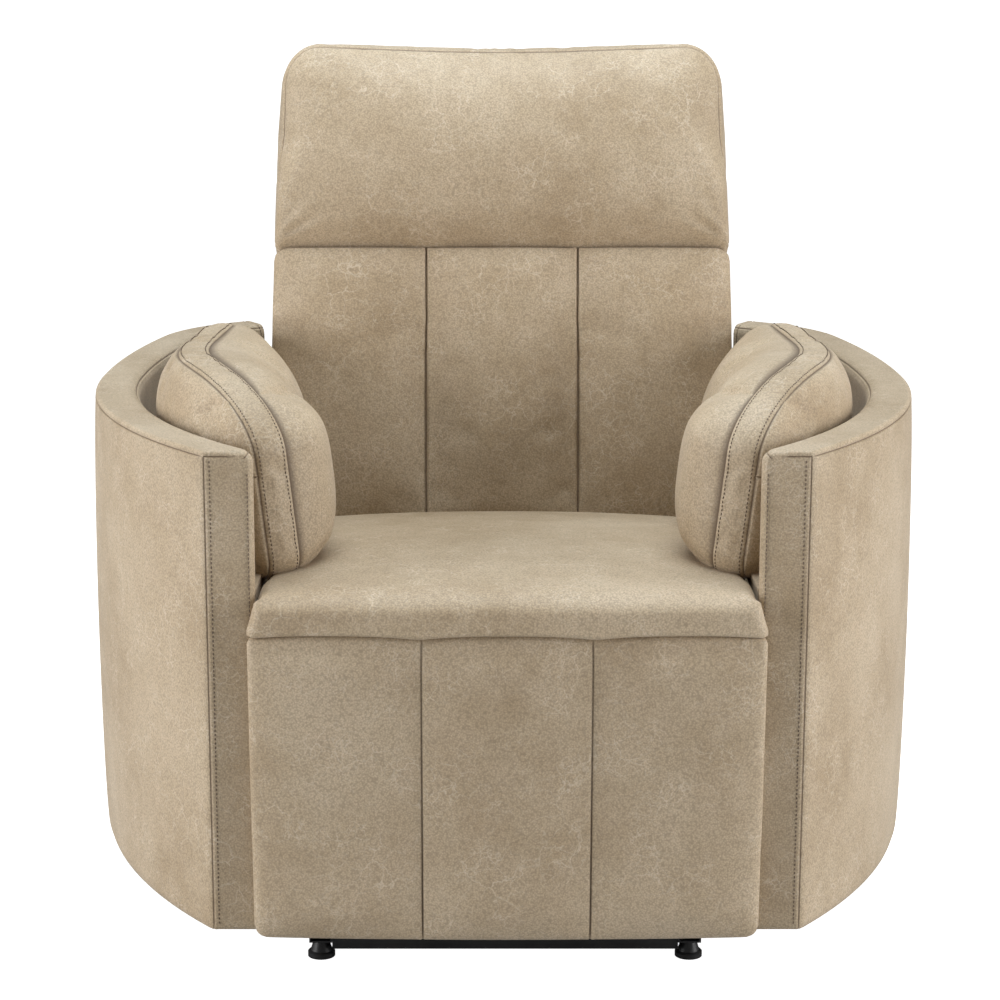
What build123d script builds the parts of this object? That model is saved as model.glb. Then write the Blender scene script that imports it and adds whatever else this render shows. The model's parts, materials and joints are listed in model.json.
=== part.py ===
"""Barrel-shaped glider recliner: curved arm shells, reclining back, tilting headrest, lifting footrest.

Millimetres. X to the sitter's left-right, +Y to the rear, +Z up. The origin is on the floor under
the middle of the chair. One solid or group of like solids per node.
"""
from build123d import *
import os
from math import sin, cos, radians, sqrt

# ---- overall sizes -------------------------------------------------------------------------
FRONT_Y = -475.0            # front face of the footrest pad
SHELL_HALF_WIDTH = 478.0    # widest point of the arm shells
SHELL_BOTTOM = 68.0
SHELL_TOP = 585.0
HEADREST_TOP = 182.0        # headrest height above its pivot, along the back
CLEAR = 0.4                 # gap that soft pieces keep to their neighbours

# ---- arm shells: plan made of three tangent arcs -------------------------------------------
SHELL_FRONT_SETBACK = 20.0  # shell's front edge behind the footrest's face
SHELL_FRONT_Y = FRONT_Y + SHELL_FRONT_SETBACK
FRONT_ARC_RADIUS = 745.0
FRONT_ARC_DEPTH = 470.0     # from the front edge to the widest point
SIDE_ARC_RADIUS = 1500.0
SIDE_ARC_TURN = 12.3        # degrees
REAR_ARC_RADIUS = 215.0
REAR_END_HEADING = 150.0    # degrees, direction of the wall at its rear end
WALL = 50.0                 # padded wall
SKIN = 12.0                 # foam and cover on each side of the wooden core
SHELL_TOP_PAD = 22.0
SEAT_SIDE_GAP = 1.0         # between the seat's side and the shell at the front
FRONT_START_HEADING = 38.0  # degrees, before the square cut at the front
CORE_REAR_TRIM = 3.5        # degrees that the core stops short at the rear
DECK_THICK = 16.0
REAR_PANEL_DROP = 115.0     # rear panel's top below the shells'
REAR_PANEL_THICK = 20.0
REAR_BOARD_INSET = 10.0
CORE_GAP = 0.3

# ---- base --------------------------------------------------------------------------------
TUBE = 25.0                 # square steel tube
TUBE_WALL = 2.0
FOOT_X = 202.0
FOOT_Y = 357.0
FOOT_DISC_RADIUS = 15.0
FOOT_DISC_HEIGHT = 7.0
RAIL_BOTTOM = 20.0
CROSSBAR_BOTTOM = 12.0
RAIL_LENGTH = 2 * FOOT_Y + 30.0
PLATE = 5.0                 # steel plate
BOLT_RADIUS = 4.0
BOLT_SPACING = 140.0        # bolts of one tower along its rail
HEAD_RIM = 3.0              # bolt head's radius beyond the bolt's
PIN_RIM = 4.0               # pin head's radius beyond the pin's
HEAD_THICK = 4.0
NUT_THICK = 5.0
FOOT_NECK_RADIUS = 8.0
TOWER_CORNER = 20.0         # cut off the tower plate's corners
TOWER_EDGE = 8.0            # plate beyond the link's round end

# ---- glide linkage -----------------------------------------------------------------------
LINK_LENGTH = 155.0
LINK_RADIUS = 14.0
LINK_SPACING = 130.0        # pivots in front of and behind the middle
LOWER_PIVOT_Z = 96.0
PIN_RADIUS = 6.0
RUN_FIT = 0.05              # radial clearance of a pin in its hole
PLATE_GAP = 1.0             # between neighbouring plates of the linkage
CHASSIS_EDGE = 22.0         # chassis plate beyond the tub beam's middle
CHASSIS_RIM = 62.0          # height of its lower band
CHASSIS_SHOULDER = (120.0, 240.0)
CHASSIS_NECK_Y = 45.0
CHASSIS_NOSE = 40.0         # depth of its front end under the seat rail

# ---- seat --------------------------------------------------------------------------------
SEAT_HALF_WIDTH = 259.0
SEAT_TOP = 436.0
SEAT_RAIL_BOTTOM = 325.0
SEAT_RAIL_THICK = 24.0
SEAT_RAIL_WIDTH = 66.0
SEAT_CROSS_RAIL_WIDTH = 38.0
SPRING_WIRE = 3.6
SPRING_COUNT = 5
SPRING_HALF_WIDTH = 22.0
SPRING_TURNS = 14
SPRING_END = 8.0            # wire's ends inside the seat frame's ends
ARC_MIDDLE = 1 - sqrt(0.5)  # share of a quarter arc's radius that its middle is inside the corner
SEAT_EDGE_RADIUS = 34.0

# ---- footrest ----------------------------------------------------------------------------
FOOTREST_THICK = 60.0
FOOTREST_TOP = 392.0
FOOTREST_BOTTOM = 68.0
FOOTREST_REAR_COVER = 6.0
BOARD = 12.0                # plywood
HINGE_X = 180.0
SLOT_WIDTH = 14.0           # room in a pad for a hinge
EAR = 3.0
SLOT_PLAY = 0.1             # from a hinge pin's end to the slot's side
FOOTREST_EYE = 9.0          # radius of the hinge plate's eye
FOOTREST_BOARD_INSET = 12.0

# ---- back --------------------------------------------------------------------------------
BACK_LEAN = 12.0            # degrees from upright
BACK_FOOT_Y = 13.5          # front of the back's rounded lower edge
BACK_PIVOT_Z = 387.5
BACK_PAD = 120.0
BACK_HALF_WIDTH = 283.0
BACK_FRAME_THICK = 28.0
BACK_OUTER_PAD = 20.0
BACK_HEIGHT = 343.5         # from the pivot to the crease under the headrest
BACK_STILE = 50.0
BACK_EYE_RADIUS = 18.0
BACK_RAIL_TOP = 60.0        # width of the frame's top rail
BACK_RAIL_BOTTOM = 50.0
BACK_ARM_LENGTH = 150.0
WEB_WIDTH = 50.0
WEB_THICK = 2.0
WEB_XS = (-150.0, -50.0, 50.0, 150.0)
WEB_RISES = (110.0, 200.0)
OUTER_PANEL_FOOT = 18.0     # rear panel's lower edge below the pivot
OUTER_PANEL_GAP = 6.0       # from its top to the headrest

# ---- headrest ----------------------------------------------------------------------------
HEADREST_OVERHANG = 20.0    # headrest thicker than the back's pad
HEADREST_ROUNDING = 35.0    # its underside's radius beyond half its thickness
HEADREST_HALF_WIDTH = 280.0
HEADREST_REAR_PAD = 20.0
STRAP_X = 100.0
STRAP_WIDTH = 18.0
STRAP_EYE = 12.0
HEADREST_TOP_PAD = 22.0     # between the CAD slab's top and the crowned cover's
HEADREST_FILLET = 30.0
HEADREST_BOARD_INSET = 15.0
EAR_RISE = 14.0

# ---- arm cushions ------------------------------------------------------------------------
CUSHION_LENGTH = 490.0
CUSHION_HEIGHT = 205.0
CUSHION_THICK = 85.0
CUSHION_FRONT_X = 235.0
CUSHION_FRONT_Y = -369.0
CUSHION_TOE = 14.0          # degrees, rear end further out
CUSHION_TILT = 7.0          # degrees, top leans out on the shell
CUSHION_NOSE = 120.0        # radius of the top front corner
CUSHION_EDGE = 22.0
CUSHION_TAIL = 45.0         # radius of the top rear corner
CUSHION_FOOT = 30.0         # extra depth that the seat plane then trims

# ---- worked out --------------------------------------------------------------------------
RAIL_X0 = FOOT_X - TUBE / 2
RAIL_X1 = FOOT_X + TUBE / 2
TOWER_X1 = RAIL_X0
TOWER_X0 = TOWER_X1 - PLATE
LINK_X0 = TOWER_X1 + PLATE_GAP
LINK_X1 = LINK_X0 + PLATE
CHASSIS_X0 = LINK_X1 + PLATE_GAP + 0.5
CHASSIS_X1 = CHASSIS_X0 + PLATE
UPPER_PIVOT_Z = LOWER_PIVOT_Z + LINK_LENGTH
BEAM_TOP = SEAT_RAIL_BOTTOM - 4.0
BEAM_BOTTOM = BEAM_TOP - TUBE
TUB_BEAM_Y = LINK_SPACING + 105.0
TUB_BEAM_BOTTOM = LOWER_PIVOT_Z + 14.0
SEAT_RAIL_TOP = SEAT_RAIL_BOTTOM + SEAT_RAIL_THICK
SEAT_UNDERSIDE = SEAT_RAIL_TOP + CLEAR + SPRING_WIRE + CLEAR
FOOTREST_REAR_Y = FRONT_Y + FOOTREST_THICK
FOOTREST_PIVOT_Y = FRONT_Y + FOOTREST_THICK / 2
FOOTREST_PIVOT_Z = FOOTREST_TOP - FOOTREST_THICK / 2
SEAT_FRAME_FRONT = FOOTREST_REAR_Y + 22.0
SEAT_FRAME_REAR = BACK_FOOT_Y - 2.5
FRONT_BEAM_Y = SEAT_FRAME_FRONT + 10.0
REAR_BEAM_Y = SEAT_FRAME_REAR - 18.0
BACK_PIVOT_Y = BACK_FOOT_Y + BACK_PAD / 2
HEADREST_THICK = BACK_PAD + HEADREST_OVERHANG
HEADREST_ARC = HEADREST_THICK / 2 + HEADREST_ROUNDING
HEADREST_FRONT_PAD = HEADREST_THICK - BOARD - HEADREST_REAR_PAD
FOOTREST_FRONT_PAD = FOOTREST_THICK - BOARD - FOOTREST_REAR_COVER
HEADREST_AXIS_RISE = BACK_HEIGHT + sqrt(HEADREST_ARC**2 - (HEADREST_THICK / 2)**2)
BRACKET_X0 = BACK_HALF_WIDTH + PLATE + PLATE_GAP
BRACKET_X1 = BRACKET_X0 + PLATE
SHELL_INNER_X = SEAT_HALF_WIDTH + SEAT_SIDE_GAP
FOOTREST_HALF_WIDTH = SEAT_HALF_WIDTH
FAR = 2000.0


# ---- small builders ----------------------------------------------------------------------
def block(x0, x1, y0, y1, z0, z1):
    """A box between the given faces."""
    return Pos((x0 + x1) / 2, (y0 + y1) / 2, (z0 + z1) / 2) * Box(x1 - x0, y1 - y0, z1 - z0)


def side_plate(outline, x0, x1):
    """A plate between x0 and x1 whose outline is a list of (y, z) corners."""
    face = make_face(Polyline([(x0, y, z) for y, z in outline], close=True))
    return extrude(face, amount=x1 - x0, dir=(1, 0, 0))


def rod(x0, x1, y, z, radius):
    """A round bar along X."""
    return Pos((x0 + x1) / 2, y, z) * Rot(0, 90, 0) * Cylinder(radius, x1 - x0)


def tube_along_x(x0, x1, y, z0):
    """Square tube along X, centred on y, standing on z0."""
    outer = block(x0, x1, y - TUBE / 2, y + TUBE / 2, z0, z0 + TUBE)
    half = TUBE / 2 - TUBE_WALL
    return outer - block(x0, x1, y - half, y + half, z0 + TUBE_WALL, z0 + TUBE - TUBE_WALL)


def tube_along_y(x, y0, y1, z0):
    """Square tube along Y, centred on x, standing on z0."""
    outer = block(x - TUBE / 2, x + TUBE / 2, y0, y1, z0, z0 + TUBE)
    half = TUBE / 2 - TUBE_WALL
    return outer - block(x - half, x + half, y0, y1, z0 + TUBE_WALL, z0 + TUBE - TUBE_WALL)


def other_side(shape):
    """The mirror image on the other side of the chair."""
    return mirror(shape, about=Plane.YZ)


def lean_point(depth, rise):
    """(y, z) of a point in the back: depth behind its front face, rise along it from the pivot."""
    s, c = sin(radians(BACK_LEAN)), cos(radians(BACK_LEAN))
    behind = depth - BACK_PAD / 2
    return (BACK_PIVOT_Y + behind * c + rise * s, BACK_PIVOT_Z - behind * s + rise * c)


def lean_plate(outline, x0, x1):
    """A plate or slab in the back, its outline given as (depth, rise) corners."""
    return side_plate([lean_point(depth, rise) for depth, rise in outline], x0, x1)


def lean_slab(depth0, depth1, rise0, rise1, x0, x1):
    """A straight slab in the back."""
    corners = [(depth0, rise0), (depth1, rise0), (depth1, rise1), (depth0, rise1)]
    return lean_plate(corners, x0, x1)


def export(name, *shapes):
    """Write one node; several shapes go in as separate solids."""
    solids = [solid for shape in shapes for solid in shape.solids()]
    export_step(solids[0] if len(solids) == 1 else Compound(children=solids), f"parts/{name}.step")


def export_pair(name, shape):
    """Write the right-hand piece and its mirror image."""
    export(f"{name}_right", shape)
    export(f"{name}_left", other_side(shape))


# ---- base: two side rails, two crossbars, four levelling feet, two towers ---------------
def base():
    half = RAIL_LENGTH / 2
    rail = tube_along_y(FOOT_X, -half, half, RAIL_BOTTOM)
    for y in (-FOOT_Y, FOOT_Y):
        rail -= Pos(FOOT_X, y, RAIL_BOTTOM) * Cylinder(BOLT_RADIUS + RUN_FIT, 8)
    bolt_ys = (-BOLT_SPACING, 0.0, BOLT_SPACING)
    bolt_z = RAIL_BOTTOM + TUBE / 2
    tower = tower_plate()
    for y in bolt_ys:
        hole = rod(TOWER_X0 - 1, RAIL_X1 + 1, y, bolt_z, BOLT_RADIUS + RUN_FIT)
        rail -= hole
        tower -= hole
    export_pair("base_rail", rail)
    export_pair("glide_tower", tower)
    bolts = [tower_bolt(y, bolt_z) for y in bolt_ys]
    export("base_bolts", *bolts, *[other_side(bolt) for bolt in bolts])
    for name, y in (("front", -FOOT_Y), ("rear", FOOT_Y)):
        export(f"base_crossbar_{name}", tube_along_x(-RAIL_X0, RAIL_X0, y, CROSSBAR_BOTTOM))
    feet = [Pos(x, y, 0) * levelling_foot() for x in (-FOOT_X, FOOT_X) for y in (-FOOT_Y, FOOT_Y)]
    export("levelling_feet", *feet)


def tower_plate():
    """Upright plate that carries the two upper glide pivots of one side."""
    reach = LINK_SPACING + LINK_RADIUS + TOWER_EDGE
    cut = TOWER_CORNER
    top = UPPER_PIVOT_Z + LINK_RADIUS
    outline = [(-reach - cut, RAIL_BOTTOM), (reach + cut, RAIL_BOTTOM), (reach, top - cut), (reach - cut, top),
               (cut - reach, top), (-reach, top - cut)]
    plate = side_plate(outline, TOWER_X0, TOWER_X1)
    for y in (-LINK_SPACING, LINK_SPACING):
        plate -= rod(TOWER_X0 - 1, TOWER_X1 + 1, y, UPPER_PIVOT_Z, PIN_RADIUS + RUN_FIT)
    return plate


def tower_bolt(y, z):
    """Bolt through tower and rail, with a head inside and a nut outside."""
    shank = rod(TOWER_X0, RAIL_X1, y, z, BOLT_RADIUS)
    head = rod(TOWER_X0 - HEAD_THICK, TOWER_X0, y, z, BOLT_RADIUS + HEAD_RIM)
    nut = rod(RAIL_X1, RAIL_X1 + NUT_THICK, y, z, BOLT_RADIUS + HEAD_RIM)
    return head + shank + nut


def levelling_foot():
    """Round foot: disc on the floor, tapered neck, threaded stud into the rail."""
    neck = RAIL_BOTTOM - FOOT_DISC_HEIGHT
    disc = Pos(0, 0, FOOT_DISC_HEIGHT / 2) * Cylinder(FOOT_DISC_RADIUS, FOOT_DISC_HEIGHT)
    disc = chamfer(disc.edges().group_by(Axis.Z)[-1], 2)
    cone = Pos(0, 0, FOOT_DISC_HEIGHT + neck / 2) * Cone(FOOT_DISC_RADIUS - 3, FOOT_NECK_RADIUS, neck)
    stud = Pos(0, 0, RAIL_BOTTOM + TUBE / 4) * Cylinder(BOLT_RADIUS, TUBE / 2)
    return disc + cone + stud


# ---- glide links and their pins ----------------------------------------------------------
def glide_link(y):
    """Flat link that hangs from the tower and carries the chassis."""
    link = block(LINK_X0, LINK_X1, y - LINK_RADIUS, y + LINK_RADIUS, LOWER_PIVOT_Z, UPPER_PIVOT_Z)
    for z in (LOWER_PIVOT_Z, UPPER_PIVOT_Z):
        link += rod(LINK_X0, LINK_X1, y, z, LINK_RADIUS)
    for z in (LOWER_PIVOT_Z, UPPER_PIVOT_Z):
        link -= rod(LINK_X0 - 1, LINK_X1 + 1, y, z, PIN_RADIUS + RUN_FIT)
    return link


def glide_pin(x_head, x_plate, x_end, y, z):
    """Pin with a round head on the outer face of the plate that it is riveted in."""
    shank = rod(min(x_plate, x_end), max(x_plate, x_end), y, z, PIN_RADIUS)
    head = rod(min(x_head, x_plate), max(x_head, x_plate), y, z, PIN_RADIUS + PIN_RIM)
    return shank + head


def linkage():
    for name, y in (("front", -LINK_SPACING), ("rear", LINK_SPACING)):
        export_pair(f"glide_link_{name}", glide_link(y))
    uppers = [glide_pin(TOWER_X0 - HEAD_THICK, TOWER_X0, LINK_X1 + 0.6, y, UPPER_PIVOT_Z)
              for y in (-LINK_SPACING, LINK_SPACING)]
    lowers = [glide_pin(CHASSIS_X1 + HEAD_THICK, CHASSIS_X1, LINK_X0 - 0.4, y, LOWER_PIVOT_Z)
              for y in (-LINK_SPACING, LINK_SPACING)]
    export("upper_glide_pins", *uppers, *[other_side(pin) for pin in uppers])
    export("lower_glide_pins", *lowers, *[other_side(pin) for pin in lowers])


# ---- chassis: two side plates on the links, joined by steel beams -----------------------
def chassis_plate():
    """Side plate from the lower glide pivots up to the seat rails."""
    low = LOWER_PIVOT_Z - LINK_RADIUS
    reach = TUB_BEAM_Y + CHASSIS_EDGE
    rim = low + CHASSIS_RIM
    outline = [(-reach, low), (reach, low), (reach, rim), CHASSIS_SHOULDER, (CHASSIS_NECK_Y, SEAT_RAIL_BOTTOM),
               (SEAT_FRAME_FRONT, SEAT_RAIL_BOTTOM), (SEAT_FRAME_FRONT, SEAT_RAIL_BOTTOM - CHASSIS_NOSE),
               (-reach, rim)]
    plate = side_plate(outline, CHASSIS_X0, CHASSIS_X1)
    for y in (-LINK_SPACING, LINK_SPACING):
        plate -= rod(CHASSIS_X0 - 1, CHASSIS_X1 + 1, y, LOWER_PIVOT_Z, PIN_RADIUS + RUN_FIT)
    for y, z in beam_seats():
        half = TUBE / 2
        plate -= block(CHASSIS_X0 - 1, CHASSIS_X1 + 1, y - half, y + half, z, z + TUBE)
    return plate


def beam_seats():
    """(y, underside) of the four beams that pass through the side plates."""
    return [(FRONT_BEAM_Y + TUBE / 2, BEAM_BOTTOM), (REAR_BEAM_Y, BEAM_BOTTOM),
            (-TUB_BEAM_Y, TUB_BEAM_BOTTOM), (TUB_BEAM_Y, TUB_BEAM_BOTTOM)]


def chassis():
    export_pair("chassis_plate", chassis_plate())
    front, rear, tub_front, tub_rear = beam_seats()
    export("chassis_beam_front", tube_along_x(-SEAT_HALF_WIDTH + 20, SEAT_HALF_WIDTH - 20, *front))
    export("chassis_beam_rear", tube_along_x(-BRACKET_X0, BRACKET_X0, *rear))
    for name, seat in (("front", tub_front), ("rear", tub_rear)):
        reach = shell_inner_x(seat[0] - TUBE / 2 if name == "front" else seat[0] + TUBE / 2) - CORE_GAP
        export(f"tub_beam_{name}", tube_along_x(-reach, reach, *seat))
    bracket = back_pivot_bracket()
    export("back_pivot_brackets", bracket, other_side(bracket))
    bracket = footrest_bracket()
    export("footrest_brackets", bracket, other_side(bracket))


def back_pivot_bracket():
    """Plate on the end of the rear beam that holds the back's pivot."""
    y0, y1 = REAR_BEAM_Y - TUBE / 2, REAR_BEAM_Y + TUBE / 2
    plate = side_plate([(y0, BEAM_BOTTOM), (y1 + 20, BEAM_BOTTOM), (BACK_PIVOT_Y + 16, BACK_PIVOT_Z - 9),
                        (BACK_PIVOT_Y - 16, BACK_PIVOT_Z + 9), (y0, BEAM_TOP)], BRACKET_X0, BRACKET_X1)
    plate += rod(BRACKET_X0, BRACKET_X1, BACK_PIVOT_Y, BACK_PIVOT_Z, BACK_EYE_RADIUS)
    return plate - rod(BRACKET_X0 - 1, BRACKET_X1 + 1, BACK_PIVOT_Y, BACK_PIVOT_Z, PIN_RADIUS + RUN_FIT)


def footrest_bracket():
    """Plate on the front beam that reaches into the footrest's slot and holds its pivot."""
    x0, x1 = HINGE_X - PLATE / 2, HINGE_X + PLATE / 2
    y, z = FOOTREST_PIVOT_Y, FOOTREST_PIVOT_Z
    neck = SEAT_FRAME_FRONT - 2
    eye = FOOTREST_EYE
    outline = [(FRONT_BEAM_Y, BEAM_BOTTOM), (FRONT_BEAM_Y, BEAM_TOP), (neck, BEAM_TOP), (neck, z + eye),
               (y, z + eye), (y, z - eye), (FOOTREST_REAR_Y + 3, z - eye), (FOOTREST_REAR_Y + 5, BEAM_BOTTOM)]
    plate = side_plate(outline, x0, x1) + rod(x0, x1, y, z, eye)
    return plate - rod(x0 - 1, x1 + 1, y, z, PIN_RADIUS - 1 + RUN_FIT)


# ---- seat: wooden rails, zigzag springs, one padded cushion ------------------------------
def seat():
    inner = SEAT_HALF_WIDTH - 1 - SEAT_RAIL_WIDTH
    rail = block(inner, SEAT_HALF_WIDTH - 1, SEAT_FRAME_FRONT, SEAT_FRAME_REAR, SEAT_RAIL_BOTTOM, SEAT_RAIL_TOP)
    export_pair("seat_rail", rail)
    w = SEAT_CROSS_RAIL_WIDTH
    for name, y in (("front", SEAT_FRAME_FRONT), ("rear", SEAT_FRAME_REAR - w)):
        cross = block(-inner, inner, y, y + w, SEAT_RAIL_BOTTOM, SEAT_RAIL_TOP)
        export(f"seat_cross_rail_{name}", cross)
    pitch = 2 * inner / SPRING_COUNT
    springs = [Pos(pitch * (i - (SPRING_COUNT - 1) / 2), 0, 0) * zigzag_spring() for i in range(SPRING_COUNT)]
    export("seat_springs", *springs)
    export("seat_cushion", seat_cushion())


def zigzag_spring():
    """Flat zigzag wire from the front cross rail to the rear one, lying on both."""
    half = SPRING_HALF_WIDTH
    y0, y1 = SEAT_FRAME_FRONT + SPRING_END, SEAT_FRAME_REAR - SPRING_END
    step = (y1 - y0) / SPRING_TURNS
    points = [(0, y0)]
    for i in range(SPRING_TURNS):
        side = half if i % 2 == 0 else -half
        points += [(side, y0 + i * step + 0.15 * step), (side, y0 + (i + 1) * step - 0.15 * step)]
    points.append((0, y1))
    wire = trace(Polyline(*points), SPRING_WIRE)
    return Pos(0, 0, SEAT_RAIL_TOP + CLEAR) * extrude(wire, SPRING_WIRE)


def seat_cushion():
    """Cushion with a nose that rolls forward over the top of the footrest."""
    nose_z = FOOTREST_TOP + CLEAR
    step_y = SEAT_FRAME_FRONT - 1
    y0 = FRONT_Y + 1
    rear = BACK_FOOT_Y - CLEAR
    r = SEAT_EDGE_RADIUS
    c = r * ARC_MIDDLE
    sketch = [Line((y0, nose_z), (step_y, nose_z)), Line((step_y, nose_z), (step_y, SEAT_UNDERSIDE)),
              Line((step_y, SEAT_UNDERSIDE), (rear, SEAT_UNDERSIDE)), Line((rear, SEAT_UNDERSIDE), (rear, SEAT_TOP)),
              Line((rear, SEAT_TOP), (y0 + r, SEAT_TOP)),
              ThreePointArc((y0 + r, SEAT_TOP), (y0 + c, SEAT_TOP - c), (y0, SEAT_TOP - r)),
              Line((y0, SEAT_TOP - r), (y0, nose_z))]
    face = Plane.YZ * make_face(sketch)
    return Pos(-SEAT_HALF_WIDTH, 0, 0) * extrude(face, 2 * SEAT_HALF_WIDTH, dir=(1, 0, 0))


# ---- footrest: pad, board, rear cover and hinges -----------------------------------------
def footrest_body():
    """The whole pad: a slab with a round top about its pivot, and slots for the hinges."""
    w = FOOTREST_HALF_WIDTH
    body = block(-w, w, FRONT_Y, FOOTREST_REAR_Y, FOOTREST_BOTTOM, FOOTREST_PIVOT_Z)
    body += rod(-w, w, FOOTREST_PIVOT_Y, FOOTREST_PIVOT_Z, FOOTREST_THICK / 2)
    for x in (-HINGE_X, HINGE_X):
        body -= block(x - SLOT_WIDTH / 2, x + SLOT_WIDTH / 2, FOOTREST_PIVOT_Y - 12, FOOTREST_REAR_Y + 1,
                      FOOTREST_PIVOT_Z - 11, FOOTREST_TOP + 1)
    return body


def footrest():
    body = footrest_body()
    board_y0 = FRONT_Y + FOOTREST_FRONT_PAD
    board_y1 = board_y0 + BOARD
    inset = FOOTREST_BOARD_INSET
    cell = block(inset - FOOTREST_HALF_WIDTH, FOOTREST_HALF_WIDTH - inset, board_y0, board_y1,
                 FOOTREST_BOTTOM + inset, FOOTREST_PIVOT_Z + 8)
    export("footrest_board", body & cell)
    export("footrest_cushion", body & block(-FAR, FAR, -FAR, board_y0, 0, FAR))
    export("footrest_rear_cover", body & block(-FAR, FAR, board_y1, FAR, 0, FAR))
    y, z = FOOTREST_PIVOT_Y, FOOTREST_PIVOT_Z
    ears = []
    for x in (-HINGE_X, HINGE_X):
        for x0 in (x - SLOT_WIDTH / 2, x + SLOT_WIDTH / 2 - EAR):
            ear = block(x0, x0 + EAR, y - FOOTREST_EYE, board_y0, z - 10, z + 10)
            ears.append(ear - rod(x0 - 1, x0 + EAR + 1, y, z, PIN_RADIUS - 1 + RUN_FIT))
    export("footrest_hinge_ears", *ears)
    reach = SLOT_WIDTH / 2 - SLOT_PLAY
    pins = [rod(x - reach, x + reach, y, z, PIN_RADIUS - 1) for x in (-HINGE_X, HINGE_X)]
    export("footrest_hinge_pins", *pins)


# ---- backrest ----------------------------------------------------------------------------
def back_cushion():
    """Pad with a round foot about the recline pivot and a hollow top under the headrest."""
    w = BACK_HALF_WIDTH
    pad = lean_slab(0, BACK_PAD, 0, BACK_HEIGHT + 4, -w, w)
    pad += rod(-w, w, BACK_PIVOT_Y, BACK_PIVOT_Z, BACK_PAD / 2)
    y, z = lean_point(HEADREST_THICK / 2, HEADREST_AXIS_RISE)
    return pad - rod(-w - 1, w + 1, y, z, HEADREST_ARC + CLEAR)


def backrest():
    export("back_cushion", back_cushion())
    d0, d1 = BACK_PAD, BACK_PAD + BACK_FRAME_THICK
    w = BACK_HALF_WIDTH
    top = HEADREST_AXIS_RISE - HEADREST_ARC + 8
    stile = lean_slab(d0, d1, 0, top, w - BACK_STILE, w)
    export_pair("back_stile", stile)
    strap = headrest_strap()
    straps = strap + other_side(strap)
    inner = w - BACK_STILE
    under_top = top - BACK_RAIL_TOP
    export("back_rail_top", lean_slab(d0, d1, under_top, top, -inner, inner) - straps)
    export("back_rail_bottom", lean_slab(d0, d1, 0, BACK_RAIL_BOTTOM, -inner, inner))
    half = WEB_WIDTH / 2
    upright = (d0 + 2, d0 + 2 + WEB_THICK)
    level = (d0 + 5, d0 + 5 + WEB_THICK)
    webs = [lean_slab(*upright, BACK_RAIL_BOTTOM, under_top, x - half, x + half) for x in WEB_XS]
    webs += [lean_slab(*level, rise - half, rise + half, -inner, inner) for rise in WEB_RISES]
    export("back_webbing", *webs)
    panel_top = BACK_HEIGHT - OUTER_PANEL_GAP
    export("back_outer_panel", lean_slab(d1, d1 + BACK_OUTER_PAD, -OUTER_PANEL_FOOT, panel_top, -w, w))
    arm = back_pivot_arm()
    export("back_pivot_arms", arm, other_side(arm))
    pin = rod(w + SLOT_PLAY, BRACKET_X1, BACK_PIVOT_Y, BACK_PIVOT_Z, PIN_RADIUS)
    pin += rod(BRACKET_X1 + 0.3, BRACKET_X1 + 4, BACK_PIVOT_Y, BACK_PIVOT_Z, PIN_RADIUS + PIN_RIM)
    pin += rod(BRACKET_X1, BRACKET_X1 + 0.3, BACK_PIVOT_Y, BACK_PIVOT_Z, PIN_RADIUS)
    export("back_pivot_pins", pin, other_side(pin))
    export("headrest_straps", strap, other_side(strap))


def back_pivot_arm():
    """Plate on the side of the back's frame, reaching forward to the pivot."""
    x0, x1 = BACK_HALF_WIDTH, BACK_HALF_WIDTH + PLATE
    mid, far = BACK_PAD / 2, BACK_PAD + BACK_FRAME_THICK
    arm = lean_plate([(mid, -BACK_EYE_RADIUS), (far, 0), (far, BACK_ARM_LENGTH), (BACK_PAD, BACK_ARM_LENGTH),
                      (BACK_PAD - 6, 60), (mid, BACK_EYE_RADIUS)], x0, x1)
    arm += rod(x0, x1, BACK_PIVOT_Y, BACK_PIVOT_Z, BACK_EYE_RADIUS)
    return arm - rod(x0 - 1, x1 + 1, BACK_PIVOT_Y, BACK_PIVOT_Z, PIN_RADIUS + RUN_FIT)


def headrest_strap():
    """Steel strap let into the back's top rail, rising into the headrest to its tilt pivot."""
    x0, x1 = STRAP_X - PLATE / 2, STRAP_X + PLATE / 2
    mid, rise = HEADREST_THICK / 2, HEADREST_AXIS_RISE
    d = BACK_PAD + BACK_FRAME_THICK
    low = HEADREST_AXIS_RISE - HEADREST_ARC
    front = d - STRAP_WIDTH
    strap = lean_plate([(front, low - 40), (d, low - 40), (d, low + 22), (mid + STRAP_EYE, rise + 4),
                        (mid - STRAP_EYE, rise), (mid - 2, rise - 14), (front, low + 14)], x0, x1)
    y, z = lean_point(mid, rise)
    strap += rod(x0, x1, y, z, STRAP_EYE)
    return strap - rod(x0 - 1, x1 + 1, y, z, PIN_RADIUS - 1 + RUN_FIT)


# ---- headrest ----------------------------------------------------------------------------
def headrest_body():
    """Whole headrest: slab with a rounded underside about its pivot, and slots for the straps."""
    w = HEADREST_HALF_WIDTH
    mid = HEADREST_THICK / 2
    top = HEADREST_AXIS_RISE + HEADREST_TOP - HEADREST_TOP_PAD
    y, z = lean_point(mid, HEADREST_AXIS_RISE)
    slab = lean_slab(0, HEADREST_THICK, HEADREST_AXIS_RISE - HEADREST_ARC, HEADREST_AXIS_RISE, -w, w)
    body = slab & rod(-w, w, y, z, HEADREST_ARC)
    upper = lean_slab(0, HEADREST_THICK, HEADREST_AXIS_RISE, top, -w, w)
    body += fillet(upper.edges().filter_by(Axis.X).group_by(Axis.Z)[-1], HEADREST_FILLET)
    for x in (-STRAP_X, STRAP_X):
        body -= lean_slab(mid - 16, HEADREST_THICK + 5, HEADREST_AXIS_RISE - HEADREST_ARC - 5,
                          HEADREST_AXIS_RISE + 16, x - SLOT_WIDTH / 2, x + SLOT_WIDTH / 2)
    return body


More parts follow.
